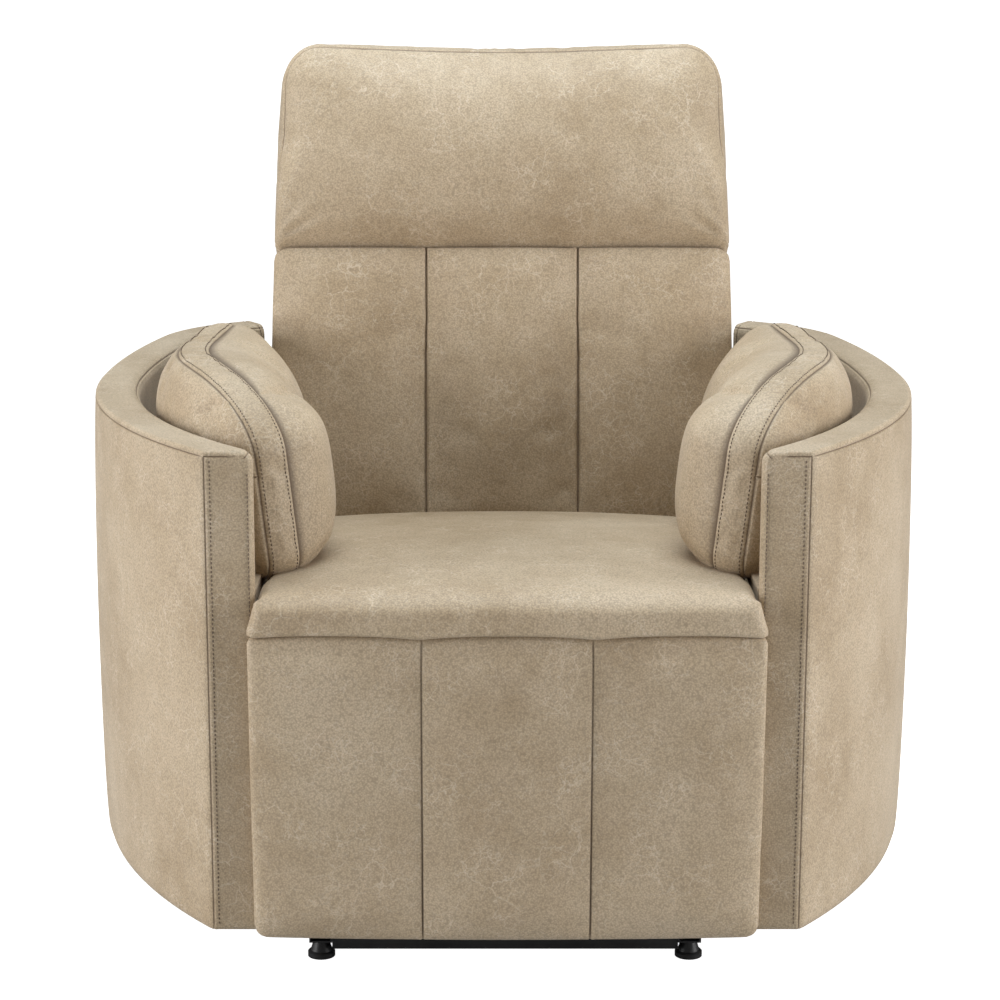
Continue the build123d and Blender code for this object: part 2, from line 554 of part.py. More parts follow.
def headrest():
    body = headrest_body()
    w = HEADREST_HALF_WIDTH
    mid, rise = HEADREST_THICK / 2, HEADREST_AXIS_RISE
    d0 = HEADREST_FRONT_PAD
    d1 = d0 + BOARD
    export("headrest_cushion", body & lean_slab(-9, d0, -FAR, FAR, -FAR, FAR))
    board_half = w - HEADREST_BOARD_INSET
    board_cell = lean_slab(d0, d1, rise - 70, rise + HEADREST_TOP - 60, -board_half, board_half)
    export("headrest_board", body & board_cell)
    export("headrest_rear_pad", body & lean_slab(d1, HEADREST_THICK + 9, -FAR, FAR, -FAR, FAR))
    y, z = lean_point(mid, rise)
    reach = SLOT_WIDTH / 2 - SLOT_PLAY
    ears, pins = [], []
    for x in (-STRAP_X, STRAP_X):
        for x0 in (x - SLOT_WIDTH / 2, x + SLOT_WIDTH / 2 - EAR):
            ear = lean_slab(mid - STRAP_EYE, d0, rise - EAR_RISE, rise + EAR_RISE, x0, x0 + EAR)
            ears.append(ear - rod(x0 - 1, x0 + EAR + 1, y, z, PIN_RADIUS - 1 + RUN_FIT))
        pins.append(rod(x - reach, x + reach, y, z, PIN_RADIUS - 1))
    export("headrest_hinge_ears", *ears)
    export("headrest_hinge_pins", *pins)


# ---- arm shells --------------------------------------------------------------------------
def shell_arcs():
    """The plan's three tangent arcs: centre, outer radius, and heading at start and end."""
    widest_y = SHELL_FRONT_Y + FRONT_ARC_DEPTH
    front = (SHELL_HALF_WIDTH - FRONT_ARC_RADIUS, widest_y)
    side = (SHELL_HALF_WIDTH - SIDE_ARC_RADIUS, widest_y)
    turn = 90 + SIDE_ARC_TURN
    reach = SIDE_ARC_RADIUS - REAR_ARC_RADIUS
    rear = (side[0] + reach * sin(radians(turn)), side[1] - reach * cos(radians(turn)))
    return [(front, FRONT_ARC_RADIUS, FRONT_START_HEADING, 90.0), (side, SIDE_ARC_RADIUS, 90.0, turn),
            (rear, REAR_ARC_RADIUS, turn, REAR_END_HEADING)]


def wall_point(arc, heading, inset):
    """A point on an arc moved inwards by inset."""
    (cx, cy), radius = arc[0], arc[1]
    angle = radians(heading)
    return (cx + (radius - inset) * sin(angle), cy - (radius - inset) * cos(angle))


def shell_inner_x(y):
    """How far out the shell's inner face is at y."""
    (cx, cy), radius = shell_arcs()[0 if y < SHELL_FRONT_Y + FRONT_ARC_DEPTH else 1][:2]
    return cx + sqrt((radius - WALL)**2 - (y - cy)**2)


def wall_curve(inset, rear_trim):
    """The wall's plan curve at one depth in the wall, as three arcs from front to rear."""
    edges = []
    for arc in shell_arcs():
        start, end = arc[2], arc[3]
        if end == REAR_END_HEADING:
            end -= rear_trim
        corners = [wall_point(arc, heading, inset) for heading in (start, (start + end) / 2, end)]
        edges.append(ThreePointArc(*corners))
    return edges


def shell_wall(inset0, inset1, front_y, inner_x, rear_trim, z0, z1):
    """A piece of the curved wall between two depths, cut square at the front."""
    outer = wall_curve(inset0, rear_trim)
    inner = wall_curve(inset1, rear_trim)
    edges = outer + inner + [Line(outer[0] @ 0, inner[0] @ 0), Line(outer[-1] @ 1, inner[-1] @ 1)]
    wall = Pos(0, 0, z0) * extrude(make_face(edges), z1 - z0)
    return wall & block(inner_x, FAR, front_y, FAR, z0, z1)


def arm_shells():
    core_trim = CORE_REAR_TRIM
    core_top = SHELL_TOP - SHELL_TOP_PAD
    cover = shell_wall(0, WALL, SHELL_FRONT_Y, SHELL_INNER_X, 0, SHELL_BOTTOM, SHELL_TOP)
    hollow = shell_wall(SKIN - CORE_GAP, WALL - SKIN + CORE_GAP, SHELL_FRONT_Y + SKIN - CORE_GAP,
                        SHELL_INNER_X + SKIN - CORE_GAP, core_trim - 0.1, SHELL_BOTTOM, core_top + CORE_GAP)
    core = shell_wall(SKIN, WALL - SKIN, SHELL_FRONT_Y + SKIN, SHELL_INNER_X + SKIN, core_trim,
                      SHELL_BOTTOM, core_top)
    export_pair("arm_cover", cover - hollow)
    export_pair("arm_core", core)
    export_pair("arm_deck", arm_deck())
    export_pair("arm_cushion", arm_cushion())


def arm_deck():
    """Board between the seat and the shell that the arm cushion stands on."""
    z1 = SEAT_TOP
    z0 = z1 - DECK_THICK
    y0, y1 = SHELL_FRONT_Y + SKIN, BACK_PIVOT_Y + 60
    edge = wall_curve(WALL + CORE_GAP, 0)
    start, end = edge[0] @ 0, edge[-1] @ 1
    outline = edge + [Line(end, (0, end.Y)), Line((0, end.Y), (0, start.Y)), Line((0, start.Y), start)]
    deck = Pos(0, 0, z0) * extrude(make_face(outline), z1 - z0)
    beside_seat = block(SEAT_HALF_WIDTH + CLEAR + 0.6, FAR, y0, BACK_FOOT_Y, z0, z1)
    beside_back = block(BRACKET_X1 + 6, FAR, BACK_FOOT_Y, y1, z0, z1)
    return deck & (beside_seat + beside_back)


def arm_cushion():
    """Box-edged cushion standing on its long edge, toed out and leaning on the shell."""
    length, height, nose = CUSHION_LENGTH, CUSHION_HEIGHT, CUSHION_NOSE
    tail, foot = CUSHION_TAIL, -CUSHION_FOOT
    tail_cut, nose_cut = tail * ARC_MIDDLE, nose * ARC_MIDDLE
    edges = [Line((0, foot), (length, foot)), Line((length, foot), (length, height - tail)),
             ThreePointArc((length, height - tail), (length - tail_cut, height - tail_cut),
                           (length - tail, height)),
             Line((length - tail, height), (nose, height)),
             ThreePointArc((nose, height), (nose_cut, height - nose_cut), (0, height - nose)),
             Line((0, height - nose), (0, foot))]
    pad = Pos(-CUSHION_THICK / 2, 0, 0) * extrude(Plane.YZ * make_face(edges), CUSHION_THICK, dir=(1, 0, 0))
    pad = fillet(pad.edges().filter_by(lambda e: e.center().Z > 0 and abs(e.center().X) > CUSHION_THICK / 2 - 1),
                 CUSHION_EDGE)
    pad = Pos(CUSHION_FRONT_X, CUSHION_FRONT_Y, SEAT_TOP) * Rot(0, 0, -CUSHION_TOE) * Rot(0, CUSHION_TILT, 0) * pad
    return pad & block(0, FAR, -FAR, FAR, SEAT_TOP + CLEAR, FAR)


def rear_panel():
    """Padded panel that closes the tub between the shells' rear ends, on a plywood board."""
    arc = shell_arcs()[2]
    inner_corner = wall_point(arc, REAR_END_HEADING, WALL)
    half = inner_corner[0] - CLEAR
    y0 = inner_corner[1] + CLEAR
    top = SHELL_TOP - REAR_PANEL_DROP
    inset = REAR_BOARD_INSET
    export("rear_panel_board",
           block(inset - half, half - inset, y0 - BOARD, y0, SHELL_BOTTOM + inset, top - inset))
    export("rear_panel", block(-half, half, y0, y0 + REAR_PANEL_THICK, SHELL_BOTTOM, top))


os.makedirs("parts", exist_ok=True)
base()
linkage()
chassis()
seat()
footrest()
backrest()
headrest()
arm_shells()
rear_panel()
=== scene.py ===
import json
import bmesh
import bpy
import numpy as np
from math import acos, cos, pi, radians, sin
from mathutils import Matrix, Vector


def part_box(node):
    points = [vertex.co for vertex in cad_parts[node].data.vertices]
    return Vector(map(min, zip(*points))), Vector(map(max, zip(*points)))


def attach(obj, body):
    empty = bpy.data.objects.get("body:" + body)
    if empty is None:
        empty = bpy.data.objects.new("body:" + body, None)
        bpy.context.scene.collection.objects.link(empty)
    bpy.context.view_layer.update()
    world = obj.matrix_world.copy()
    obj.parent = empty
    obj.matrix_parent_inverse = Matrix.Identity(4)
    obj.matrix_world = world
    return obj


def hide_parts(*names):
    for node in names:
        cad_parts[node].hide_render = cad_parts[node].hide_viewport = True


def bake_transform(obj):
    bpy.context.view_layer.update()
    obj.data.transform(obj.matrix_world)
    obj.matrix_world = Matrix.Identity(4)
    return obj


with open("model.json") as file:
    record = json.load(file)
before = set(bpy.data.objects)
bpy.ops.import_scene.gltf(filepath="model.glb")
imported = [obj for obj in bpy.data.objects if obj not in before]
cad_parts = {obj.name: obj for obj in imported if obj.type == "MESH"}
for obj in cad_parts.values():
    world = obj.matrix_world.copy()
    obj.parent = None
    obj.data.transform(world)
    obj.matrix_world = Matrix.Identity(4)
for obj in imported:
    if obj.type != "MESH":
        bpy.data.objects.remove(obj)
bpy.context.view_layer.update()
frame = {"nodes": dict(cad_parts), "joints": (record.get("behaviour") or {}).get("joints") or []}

joint = {j["name"]: j for j in frame["joints"]}


# ---- camera -------------------------------------------------------------------------------------
# Stands a little above the back's top, in front of the chair, and looks down on it with a long lens.
shell_low, shell_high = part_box("arm_cover_right")
shell_front = shell_low.y
camera_data = bpy.data.cameras.new("camera")
camera_data.sensor_width = 36.0
camera_data.lens = 91.3
camera_data.shift_x = 0.0268
camera = bpy.data.objects.new("camera", camera_data)
camera.location = (-0.035, shell_front - 2.528, 1.082)
camera.rotation_euler = (radians(90 - 12.23), 0.0, 0.0)
bpy.context.scene.collection.objects.link(camera)
bpy.context.scene.camera = camera


# ---- studio -------------------------------------------------------------------------------------
# White floor in a white room: a large softbox overhead and one at each side. Room and floor show as pure
# white and light the chair more gently than that.
def area_light(name, place, aim, size, power, colour=(1.0, 1.0, 1.0)):
    """Square softbox at place, turned to face aim."""
    data = bpy.data.lights.new(name, "AREA")
    data.shape = "SQUARE"
    data.size = size
    data.energy = power
    data.color = colour
    lamp = bpy.data.objects.new(name, data)
    lamp.location = place
    away = np.array(place) - np.array(aim)
    lamp.rotation_euler = (acos(away[2] / np.linalg.norm(away)), 0.0, np.arctan2(away[1], away[0]) + pi / 2)
    bpy.context.scene.collection.objects.link(lamp)


chair_middle = (0.0, 0.0, 0.5)
area_light("overhead_softbox", (0.0, 0.1, 3.0), chair_middle, 2.0, 80, (0.87, 0.95, 1.0))
area_light("left_softbox", (-2.7, -1.15, 1.0), chair_middle, 1.6, 66)
area_light("right_softbox", (2.7, -1.15, 1.0), chair_middle, 1.6, 66)

world = bpy.data.worlds.new("studio_air")
world.use_nodes = True
air = world.node_tree
seen_white = air.nodes.new("ShaderNodeBackground")
seen_white.inputs["Color"].default_value = (1.0, 1.0, 1.0, 1.0)
seen_white.inputs["Strength"].default_value = 1.3
soft_air = air.nodes["Background"]
soft_air.inputs["Color"].default_value = (1.0, 1.0, 1.0, 1.0)
soft_air.inputs["Strength"].default_value = 0.16
choose = air.nodes.new("ShaderNodeMixShader")
rays = air.nodes.new("ShaderNodeLightPath")
air.links.new(rays.outputs["Is Camera Ray"], choose.inputs["Fac"])
air.links.new(soft_air.outputs["Background"], choose.inputs[1])
air.links.new(seen_white.outputs["Background"], choose.inputs[2])
air.links.new(choose.outputs["Shader"], air.nodes["World Output"].inputs["Surface"])
bpy.context.scene.world = world
bpy.context.scene.view_settings.view_transform = "Standard"

floor_mesh = bpy.data.meshes.new("floor")
floor_mesh.from_pydata([(-9, -9, 0), (9, -9, 0), (9, 9, 0), (-9, 9, 0)], [], [(0, 1, 2, 3)])
floor = bpy.data.objects.new("floor", floor_mesh)
bpy.context.scene.collection.objects.link(floor)
floor_paint = bpy.data.materials.new("studio_floor")
floor_paint.use_nodes = True
floor_shader = floor_paint.node_tree.nodes["Principled BSDF"]
floor_shader.inputs["Base Color"].default_value = (0.60, 0.60, 0.60, 1.0)
floor_shader.inputs["Roughness"].default_value = 0.9
floor_shader.inputs["Specular IOR Level"].default_value = 0.1
floor_shader.inputs["Emission Color"].default_value = (1.0, 1.0, 1.0, 1.0)
floor_rays = floor_paint.node_tree.nodes.new("ShaderNodeLightPath")
floor_glow = floor_paint.node_tree.nodes.new("ShaderNodeMath")
floor_glow.operation = "MULTIPLY"
floor_glow.inputs[1].default_value = 1.0
floor_paint.node_tree.links.new(floor_rays.outputs["Is Camera Ray"], floor_glow.inputs[0])
floor_paint.node_tree.links.new(floor_glow.outputs["Value"], floor_shader.inputs["Emission Strength"])
floor_mesh.materials.append(floor_paint)


# ---- leather ------------------------------------------------------------------------------------
# Distressed beige faux leather: pebbled grain, soft brown clouds, and pale hairline creases where the
# finish has cracked, with painted shade along the seams. One group makes the pattern, and each piece is cut
# from another place in it.
def link(tree, source, target):
    tree.links.new(source, target)


def add(tree, kind, **settings):
    """A node with its properties or unlinked inputs set by name."""
    node = tree.nodes.new(kind)
    for key, value in settings.items():
        if hasattr(node, key):
            setattr(node, key, value)
        else:
            node.inputs[key.replace("_", " ").title()].default_value = value
    return node


def ramp(tree, source, stops):
    """Colour ramp from (place, colour) stops."""
    node = tree.nodes.new("ShaderNodeValToRGB")
    while len(node.color_ramp.elements) < len(stops):
        node.color_ramp.elements.new(0.5)
    for element, (place, colour) in zip(node.color_ramp.elements, stops):
        element.position = place
        element.color = (*colour, 1.0)
    link(tree, source, node.inputs["Fac"])
    return node.outputs["Color"]


def mix(tree, mask, first, second, blend="MIX"):
    """Colour mix; mask, first and second are sockets, numbers or colours."""
    node = tree.nodes.new("ShaderNodeMix")
    node.data_type = "RGBA"
    node.blend_type = blend
    for socket, value in ((node.inputs[0], mask), (node.inputs[6], first), (node.inputs[7], second)):
        if isinstance(value, bpy.types.NodeSocket):
            link(tree, value, socket)
        elif isinstance(value, tuple):
            socket.default_value = (*value, 1.0)
        else:
            socket.default_value = value
    return node.outputs[2]


def calc(tree, operation, first, second=0.0):
    """One maths step on sockets or numbers."""
    node = tree.nodes.new("ShaderNodeMath")
    node.operation = operation
    for socket, value in zip(node.inputs, (first, second)):
        if isinstance(value, bpy.types.NodeSocket):
            link(tree, value, socket)
        else:
            socket.default_value = value
    return node.outputs[0]


def grey(level):
    return (level, level, level)


def new_group(name, inputs, outputs):
    """Empty node group with the given named sockets, each name paired with its kind."""
    group = bpy.data.node_groups.new(name, "ShaderNodeTree")
    for direction, sockets in (("INPUT", inputs), ("OUTPUT", outputs)):
        for socket, kind in sockets:
            group.interface.new_socket(socket, in_out=direction, socket_type=f"NodeSocket{kind}")
    return group


hide = new_group("distressed_leather", [("Vector", "Vector"), ("Seam", "Float")],
                 [("Colour", "Color"), ("Roughness", "Float"), ("Height", "Float")])
hide_inputs = hide.nodes.new("NodeGroupInput")
place = hide_inputs.outputs["Vector"]
clouds = add(hide, "ShaderNodeTexNoise", scale=6.5, detail=5.0, roughness=0.6)
blotches = add(hide, "ShaderNodeTexNoise", scale=30.0, detail=6.0, roughness=0.68)
pebbles = add(hide, "ShaderNodeTexVoronoi", scale=500.0, feature="SMOOTH_F1", smoothness=0.6)
fine_grain = add(hide, "ShaderNodeTexNoise", scale=620.0, detail=3.0, roughness=0.6)
warp = add(hide, "ShaderNodeTexNoise", scale=55.0, detail=3.0)
for node in (clouds, blotches, pebbles, fine_grain, warp):
    link(hide, place, node.inputs["Vector"])
bent = add(hide, "ShaderNodeVectorMath", operation="MULTIPLY_ADD")
link(hide, warp.outputs["Color"], bent.inputs[0])
bent.inputs[1].default_value = (0.024, 0.024, 0.024)
link(hide, place, bent.inputs[2])


def hairlines(scale, width, patch_scale):
    """Thin crack lines between warped cells, kept only in patches."""
    cells = add(hide, "ShaderNodeTexVoronoi", scale=scale, feature="DISTANCE_TO_EDGE")
    link(hide, bent.outputs[0], cells.inputs["Vector"])
    line = ramp(hide, cells.outputs["Distance"], [(0.0, grey(1.0)), (width, grey(0.0))])
    patch = add(hide, "ShaderNodeTexNoise", scale=patch_scale, detail=4.0)
    link(hide, place, patch.inputs["Vector"])
    shown = ramp(hide, patch.outputs["Fac"], [(0.46, grey(0.0)), (0.64, grey(1.0))])
    return mix(hide, 1.0, line, shown, "MULTIPLY")


cracks = mix(hide, 1.0, hairlines(44.0, 0.030, 15.0), hairlines(90.0, 0.045, 23.0), "LIGHTEN")
hide_colour = ramp(hide, clouds.outputs["Fac"], [(0.32, (0.395, 0.294, 0.184)), (0.50, (0.465, 0.360, 0.240)),
                                                 (0.68, (0.525, 0.418, 0.292))])
blotch_mask = ramp(hide, blotches.outputs["Fac"], [(0.44, grey(0.0)), (0.72, grey(0.45))])
hide_colour = mix(hide, blotch_mask, hide_colour, (0.530, 0.412, 0.290))
pits = ramp(hide, pebbles.outputs["Distance"], [(0.15, grey(1.10)), (0.75, grey(0.74))])
hide_colour = mix(hide, 1.0, hide_colour, pits, "MULTIPLY")
speckle = ramp(hide, fine_grain.outputs["Fac"], [(0.3, grey(0.89)), (0.7, grey(1.11))])
hide_colour = mix(hide, 1.0, hide_colour, speckle, "MULTIPLY")
hide_colour = mix(hide, calc(hide, "MULTIPLY", cracks, 0.45), hide_colour, (0.720, 0.620, 0.490))
# Painted shade: along seams the colour is pulled to dark brown, standing in for the shadow in their grooves.
hide_colour = mix(hide, hide_inputs.outputs["Seam"], hide_colour, (0.110, 0.070, 0.040))
hide_height = calc(hide, "ADD", calc(hide, "MULTIPLY", pebbles.outputs["Distance"], -0.65),
                   calc(hide, "MULTIPLY", fine_grain.outputs["Fac"], 0.5))
hide_height = calc(hide, "ADD", hide_height, calc(hide, "MULTIPLY", cracks, 0.25))
hide_gloss = calc(hide, "ADD", calc(hide, "MULTIPLY", fine_grain.outputs["Fac"], 0.22), 0.46)
hide_outputs = hide.nodes.new("NodeGroupOutput")
link(hide, hide_colour, hide_outputs.inputs["Colour"])
link(hide, hide_gloss, hide_outputs.inputs["Roughness"])
link(hide, hide_height, hide_outputs.inputs["Height"])


def leather(name, cut_from):
    """Leather for one piece, cut from its own place in the hide; its seam attribute paints shade along the seam lines.
    """
    material = bpy.data.materials.new(name)
    material.use_nodes = True
    tree = material.node_tree
    shader = tree.nodes["Principled BSDF"]
    coordinates = tree.nodes.new("ShaderNodeTexCoord")
    mapping = tree.nodes.new("ShaderNodeMapping")
    mapping.inputs["Location"].default_value = cut_from
    pattern = tree.nodes.new("ShaderNodeGroup")
    pattern.node_tree = hide
    seam = add(tree, "ShaderNodeAttribute", attribute_name="seam")
    bump = add(tree, "ShaderNodeBump", strength=0.42, distance=0.0006)
    link(tree, coordinates.outputs["Object"], mapping.inputs["Vector"])
    link(tree, mapping.outputs["Vector"], pattern.inputs["Vector"])
    link(tree, seam.outputs["Fac"], pattern.inputs["Seam"])
    link(tree, pattern.outputs["Colour"], shader.inputs["Base Color"])
    link(tree, pattern.outputs["Roughness"], shader.inputs["Roughness"])
    link(tree, pattern.outputs["Height"], bump.inputs["Height"])
    link(tree, bump.outputs["Normal"], shader.inputs["Normal"])
    shader.inputs["Specular IOR Level"].default_value = 0.30
    shader.inputs["Sheen Weight"].default_value = 0.10
    shader.inputs["Sheen Roughness"].default_value = 0.5
    return material


def box_grid(axes):
    """Surface of a box cut at the given places on each axis: its points, its outward quads, and the number
    of each grid place (-1 inside)."""
    shape = tuple(len(axis) for axis in axes)
    skin = np.ones(shape, bool)
    skin[1:-1, 1:-1, 1:-1] = False
    number = np.full(shape, -1)
    number[skin] = np.arange(skin.sum())
    places = np.stack(np.meshgrid(*axes, indexing="ij"), axis=-1)[skin]
    quads = []
    for axis, low_faces_out in ((0, False), (1, True), (2, False)):
        for end, out in ((0, low_faces_out), (-1, not low_faces_out)):
            a = np.take(number, end, axis)
            ring = [a[:-1, :-1], a[1:, :-1], a[1:, 1:], a[:-1, 1:]]
            quads.append(np.stack(ring if out else ring[::-1], axis=-1).reshape(-1, 4))
    return places, np.concatenate(quads), number


def cuts(low, high, step, *seams):
    """Places from low to high about a step apart, with a cluster of close ones at each seam. Rounding may put an
    end a hair outside, and it is kept."""
    near = np.array([-6.5, -3.8, -2.2, -1.2, -0.6, 0.0, 0.6, 1.2, 2.2, 3.8, 6.5]) / 1000
    even = np.linspace(low, high, max(3, round((high - low) / step) + 1))
    clusters = [seam + near for seam in seams]
    for seam in seams:
        even = even[(np.abs(even - seam) > 0.0095) | (even == low) | (even == high)]
    every = np.unique(np.round(np.concatenate([even, *clusters]), 6))
    return every[(every > low - 1e-6) & (every < high + 1e-6)]


def rounded(points, low, high, radius):
    """Box surface with rounded edges and its outward normals. The core is the box drawn in by the radius on
    each axis; a point is its core place plus the radius times its unit offset from the core."""
    core = np.clip(points, low + radius, high - radius)
    offset = (points - core) / radius
    out = offset / np.maximum(np.linalg.norm(offset, axis=1, keepdims=True), 1e-9)
    return core + radius * out, out


def soft_step(value, low, high):
    """0 below low, 1 above high, smooth between."""
    t = np.clip((value - low) / (high - low), 0, 1)
    return t * t * (3 - 2 * t)


def ridge(value, centre, width):
    """Bell-shaped bump of that half-width."""
    return np.exp(-((value - centre) / width)**2)


def stitched(points, out, line, shown, depth=0.0018, width=0.0012):
    """Sinks a sewn seam where line is 0, between two slightly raised lips; line is a signed distance in
    metres and shown is 1 where the seam runs."""
    groove = shown * (np.exp(-(line / width)**2) * depth
                      - ridge(np.abs(line), 2.6 * width, 1.3 * width) * depth * 0.28)
    return points - out * groove[:, None]


def make_skin(name, points, quads, material, body, nodes, seam=None):
    """A finished surface as a piece: it rides on its body and stands for its CAD nodes."""
    mesh = bpy.data.meshes.new(name)
    mesh.from_pydata(points.tolist(), [], quads.tolist())
    mesh.validate()
    work = bmesh.new()
    work.from_mesh(mesh)
    bmesh.ops.recalc_face_normals(work, faces=work.faces)
    work.to_mesh(mesh)
    work.free()
    mesh.shade_smooth()
    # seam carries the painted seam shade to the leather as a point attribute.
    if seam is not None:
        attribute = mesh.attributes.new("seam", "FLOAT", "POINT")
        attribute.data.foreach_set("value", np.clip(seam, 0, 1).astype(np.float32))
    mesh.materials.append(material)
    piece = bpy.data.objects.new(name, mesh)
    bpy.context.scene.collection.objects.link(piece)
    if body:
        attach(piece, body)
    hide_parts(*nodes)
    return piece


# ---- arm shells ---------------------------------------------------------------------------------
# Curved plywood walls, padded and covered. The top panel meets the side panel in a seam along the outer
# edge, and a narrow strip closes the front between two stitched upright seams.
wall = 0.050
front_arc, side_arc, rear_arc = 0.745, 1.500, 0.215
front_run = 0.470
side_turn, end_heading = radians(102.3), radians(150.0)
side_run = side_arc * (side_turn - pi / 2)
wall_run = front_run + side_run + rear_arc * (end_heading - side_turn)
edge_soft, inner_top_soft = 0.0035, 0.014
corner_seam, inner_seam, top_seam, end_seam = 0.0022, wall - 0.0018, shell_high.z - 0.0060, wall_run - 0.010


def wall_place(inset, run, z):
    """World place of a point at an inset into the wall, a run along it from the front and a height. The plan is
    three tangent arcs; along the first, the run is measured straight back, so that the front end is square."""
    widest_y = shell_front + front_run
    ahead = np.maximum(front_run - run, 0)
    outer = shell_high.x - front_arc + np.sqrt(front_arc**2 - ahead**2)
    inner = np.maximum(shell_high.x - front_arc + np.sqrt((front_arc - wall)**2 - ahead**2), shell_low.x)
    side_x = shell_high.x - side_arc
    heading_side = pi / 2 + np.clip(run - front_run, 0, side_run) / side_arc
    heading_rear = side_turn + (run - front_run - side_run) / rear_arc
    reach = side_arc - rear_arc
    rear_x, rear_y = side_x + reach * sin(side_turn), widest_y - reach * cos(side_turn)
    on_front, on_side = run < front_run, run < front_run + side_run
    x = np.where(on_front, outer + (inner - outer) * inset / wall,
                 np.where(on_side, side_x + (side_arc - inset) * np.sin(heading_side),
                          rear_x + (rear_arc - inset) * np.sin(heading_rear)))
    y = np.where(on_front, shell_front + run,
                 np.where(on_side, widest_y - (side_arc - inset) * np.cos(heading_side),
                          rear_y - (rear_arc - inset) * np.cos(heading_rear)))
    return np.stack([x, y, z], axis=-1)


def seam_shade(*lines, width=0.0006):
    """Painted shade along sewn seams, standing in for the shadow in their grooves: each line is (signed distance,
    shown).
    """
    return np.clip(sum(shown * ridge(line, 0, width) for line, shown in lines), 0, 1)


places, quads, _ = box_grid((cuts(0, wall, 0.005, corner_seam, wall),
                             cuts(0, wall_run, 0.0065, end_seam),
                             cuts(shell_low.z, shell_high.z, 0.0065, top_seam)))
low, high = np.array([0, 0, shell_low.z]), np.array([wall, wall_run, shell_high.z])
soft = np.full(places.shape, edge_soft)
inner_top = (places[:, 0] > wall / 2) & (places[:, 2] > (shell_low.z + shell_high.z) / 2)
soft[inner_top] = (inner_top_soft, edge_soft, inner_top_soft)
soft[places[:, 2] < shell_low.z + 0.1, 2] = 0.002
points, out = rounded(places, low, high, soft)
inset, run, z = points.T
faces_front = soft_step(-out[:, 1], 0.55, 0.8)
faces_outside = soft_step(-out[:, 0], 0.3, 0.6) * (1 - faces_front)
shell_seams = [(inset - corner_seam, faces_front * (z < top_seam)),
               ((inset - wall - z + shell_high.z) * 0.707,
                soft_step(np.minimum(out[:, 0], out[:, 2]), 0.3, 0.5)),
               (z - top_seam, np.maximum(faces_front * (inset > corner_seam) * soft_step(-inset, 0.018 - wall, 0.022 - wall),
                                         faces_outside)),
               (run - end_seam, 1.0 - soft_step(-out[:, 2], 0.5, 0.7))]
for line, shown in shell_seams:
    points = stitched(points, out, line, shown * np.ones(len(points)), depth=0.0010, width=0.0009)
middle_puff = np.sin(pi * np.clip((run - 0.02) / (wall_run - 0.04), 0, 1))
upright = np.sin(pi * np.clip((z - shell_low.z) / (shell_high.z - shell_low.z), 0, 1))
points[:, 0] += 0.0065 * np.minimum(out[:, 0], 0) * upright**0.5 * middle_puff
shell_right = wall_place(*points.T)
shell_shade = seam_shade(*shell_seams)
for side, sign in (("right", 1), ("left", -1)):
    make_skin(f"arm_shell_{side}", shell_right * (sign, 1, 1), quads,
              leather(f"arm_shell_leather_{side}", (sign, 0, 0)),
              "chassis", [f"arm_cover_{side}"], shell_shade)


# ---- stitches -----------------------------------------------------------------------------------
# Brown bonded thread. Each stitch is a short rounded bar that dives into the leather at both ends.
stitch_pitch, stitch_length, stitch_radius = 0.0046, 0.0033, 0.00058
thread = bpy.data.materials.new("brown_thread")
thread.use_nodes = True
thread_tree = thread.node_tree
thread_coordinates = thread_tree.nodes.new("ShaderNodeTexCoord")
fibre = add(thread_tree, "ShaderNodeTexNoise", scale=1800.0, detail=2.0)
link(thread_tree, thread_coordinates.outputs["Object"], fibre.inputs["Vector"])
thread_colour = ramp(thread_tree, fibre.outputs["Fac"],
                     [(0.3, (0.085, 0.058, 0.036)), (0.7, (0.160, 0.115, 0.075))])
link(thread_tree, thread_colour, thread_tree.nodes["Principled BSDF"].inputs["Base Color"])
thread_tree.nodes["Principled BSDF"].inputs["Roughness"].default_value = 0.6


def unit(vectors):
    return vectors / np.maximum(np.linalg.norm(vectors, axis=-1, keepdims=True), 1e-12)


def stitch_row(path, out):
    """Points and quads of a row of stitches along a path with outward directions. A stitch is five rings of six
    points about its line; the rings shrink and sink at both ends."""
    step = np.concatenate([[0], np.cumsum(np.linalg.norm(np.diff(path, axis=0), axis=1))])
    at = np.arange(stitch_pitch, step[-1], stitch_pitch)
    where = np.stack([np.interp(at, step, path[:, k]) for k in range(3)], axis=-1)
    along = np.stack([np.interp(at, step, np.gradient(path[:, k], step)) for k in range(3)], axis=-1)
    up = unit(np.stack([np.interp(at, step, out[:, k]) for k in range(3)], axis=-1))
    along = unit(along - up * np.sum(along * up, axis=-1, keepdims=True))
    across = np.cross(up, along)
    ends = np.array([-1.0, -0.6, 0.0, 0.6, 1.0])
    size = np.array([0.25, 0.85, 1.0, 0.85, 0.25])
    turn = np.arange(6) * pi / 3
    lift = stitch_radius * (0.75 - 1.5 * np.abs(ends)**3)
    local = np.stack([np.broadcast_to(ends[:, None] * stitch_length / 2, (5, 6)),
                      size[:, None] * stitch_radius * np.cos(turn),
                      size[:, None] * stitch_radius * np.sin(turn) + lift[:, None]], axis=-1).reshape(-1, 3)
    axes = np.stack([along, across, up], axis=1)
    points = where[:, None, :] + np.einsum("pk,nkc->npc", local, axes)
    ring = np.arange(6)
    quads = np.concatenate([np.stack([r * 6 + ring, r * 6 + (ring + 1) % 6, (r + 1) * 6 + (ring + 1) % 6,
                                      (r + 1) * 6 + ring], axis=-1) for r in range(4)])
    caps = np.array([[3, 2, 1, 0], [5, 4, 3, 0], [24, 25, 26, 27], [27, 28, 29, 24]])
    quads = np.concatenate([quads, caps])
    return points.reshape(-1, 3), (quads[None] + 30 * np.arange(len(at))[:, None, None]).reshape(-1, 4)


def sew(name, rows, body):
    """All the rows of stitches on one piece, as one mesh."""
    points, quads, count = [], [], 0
    for path, out in rows:
        row_points, row_quads = stitch_row(path, out)
        points.append(row_points)
        quads.append(row_quads + count)
        count += len(row_points)
    return make_skin(name, np.concatenate(points), np.concatenate(quads), thread, body, [])


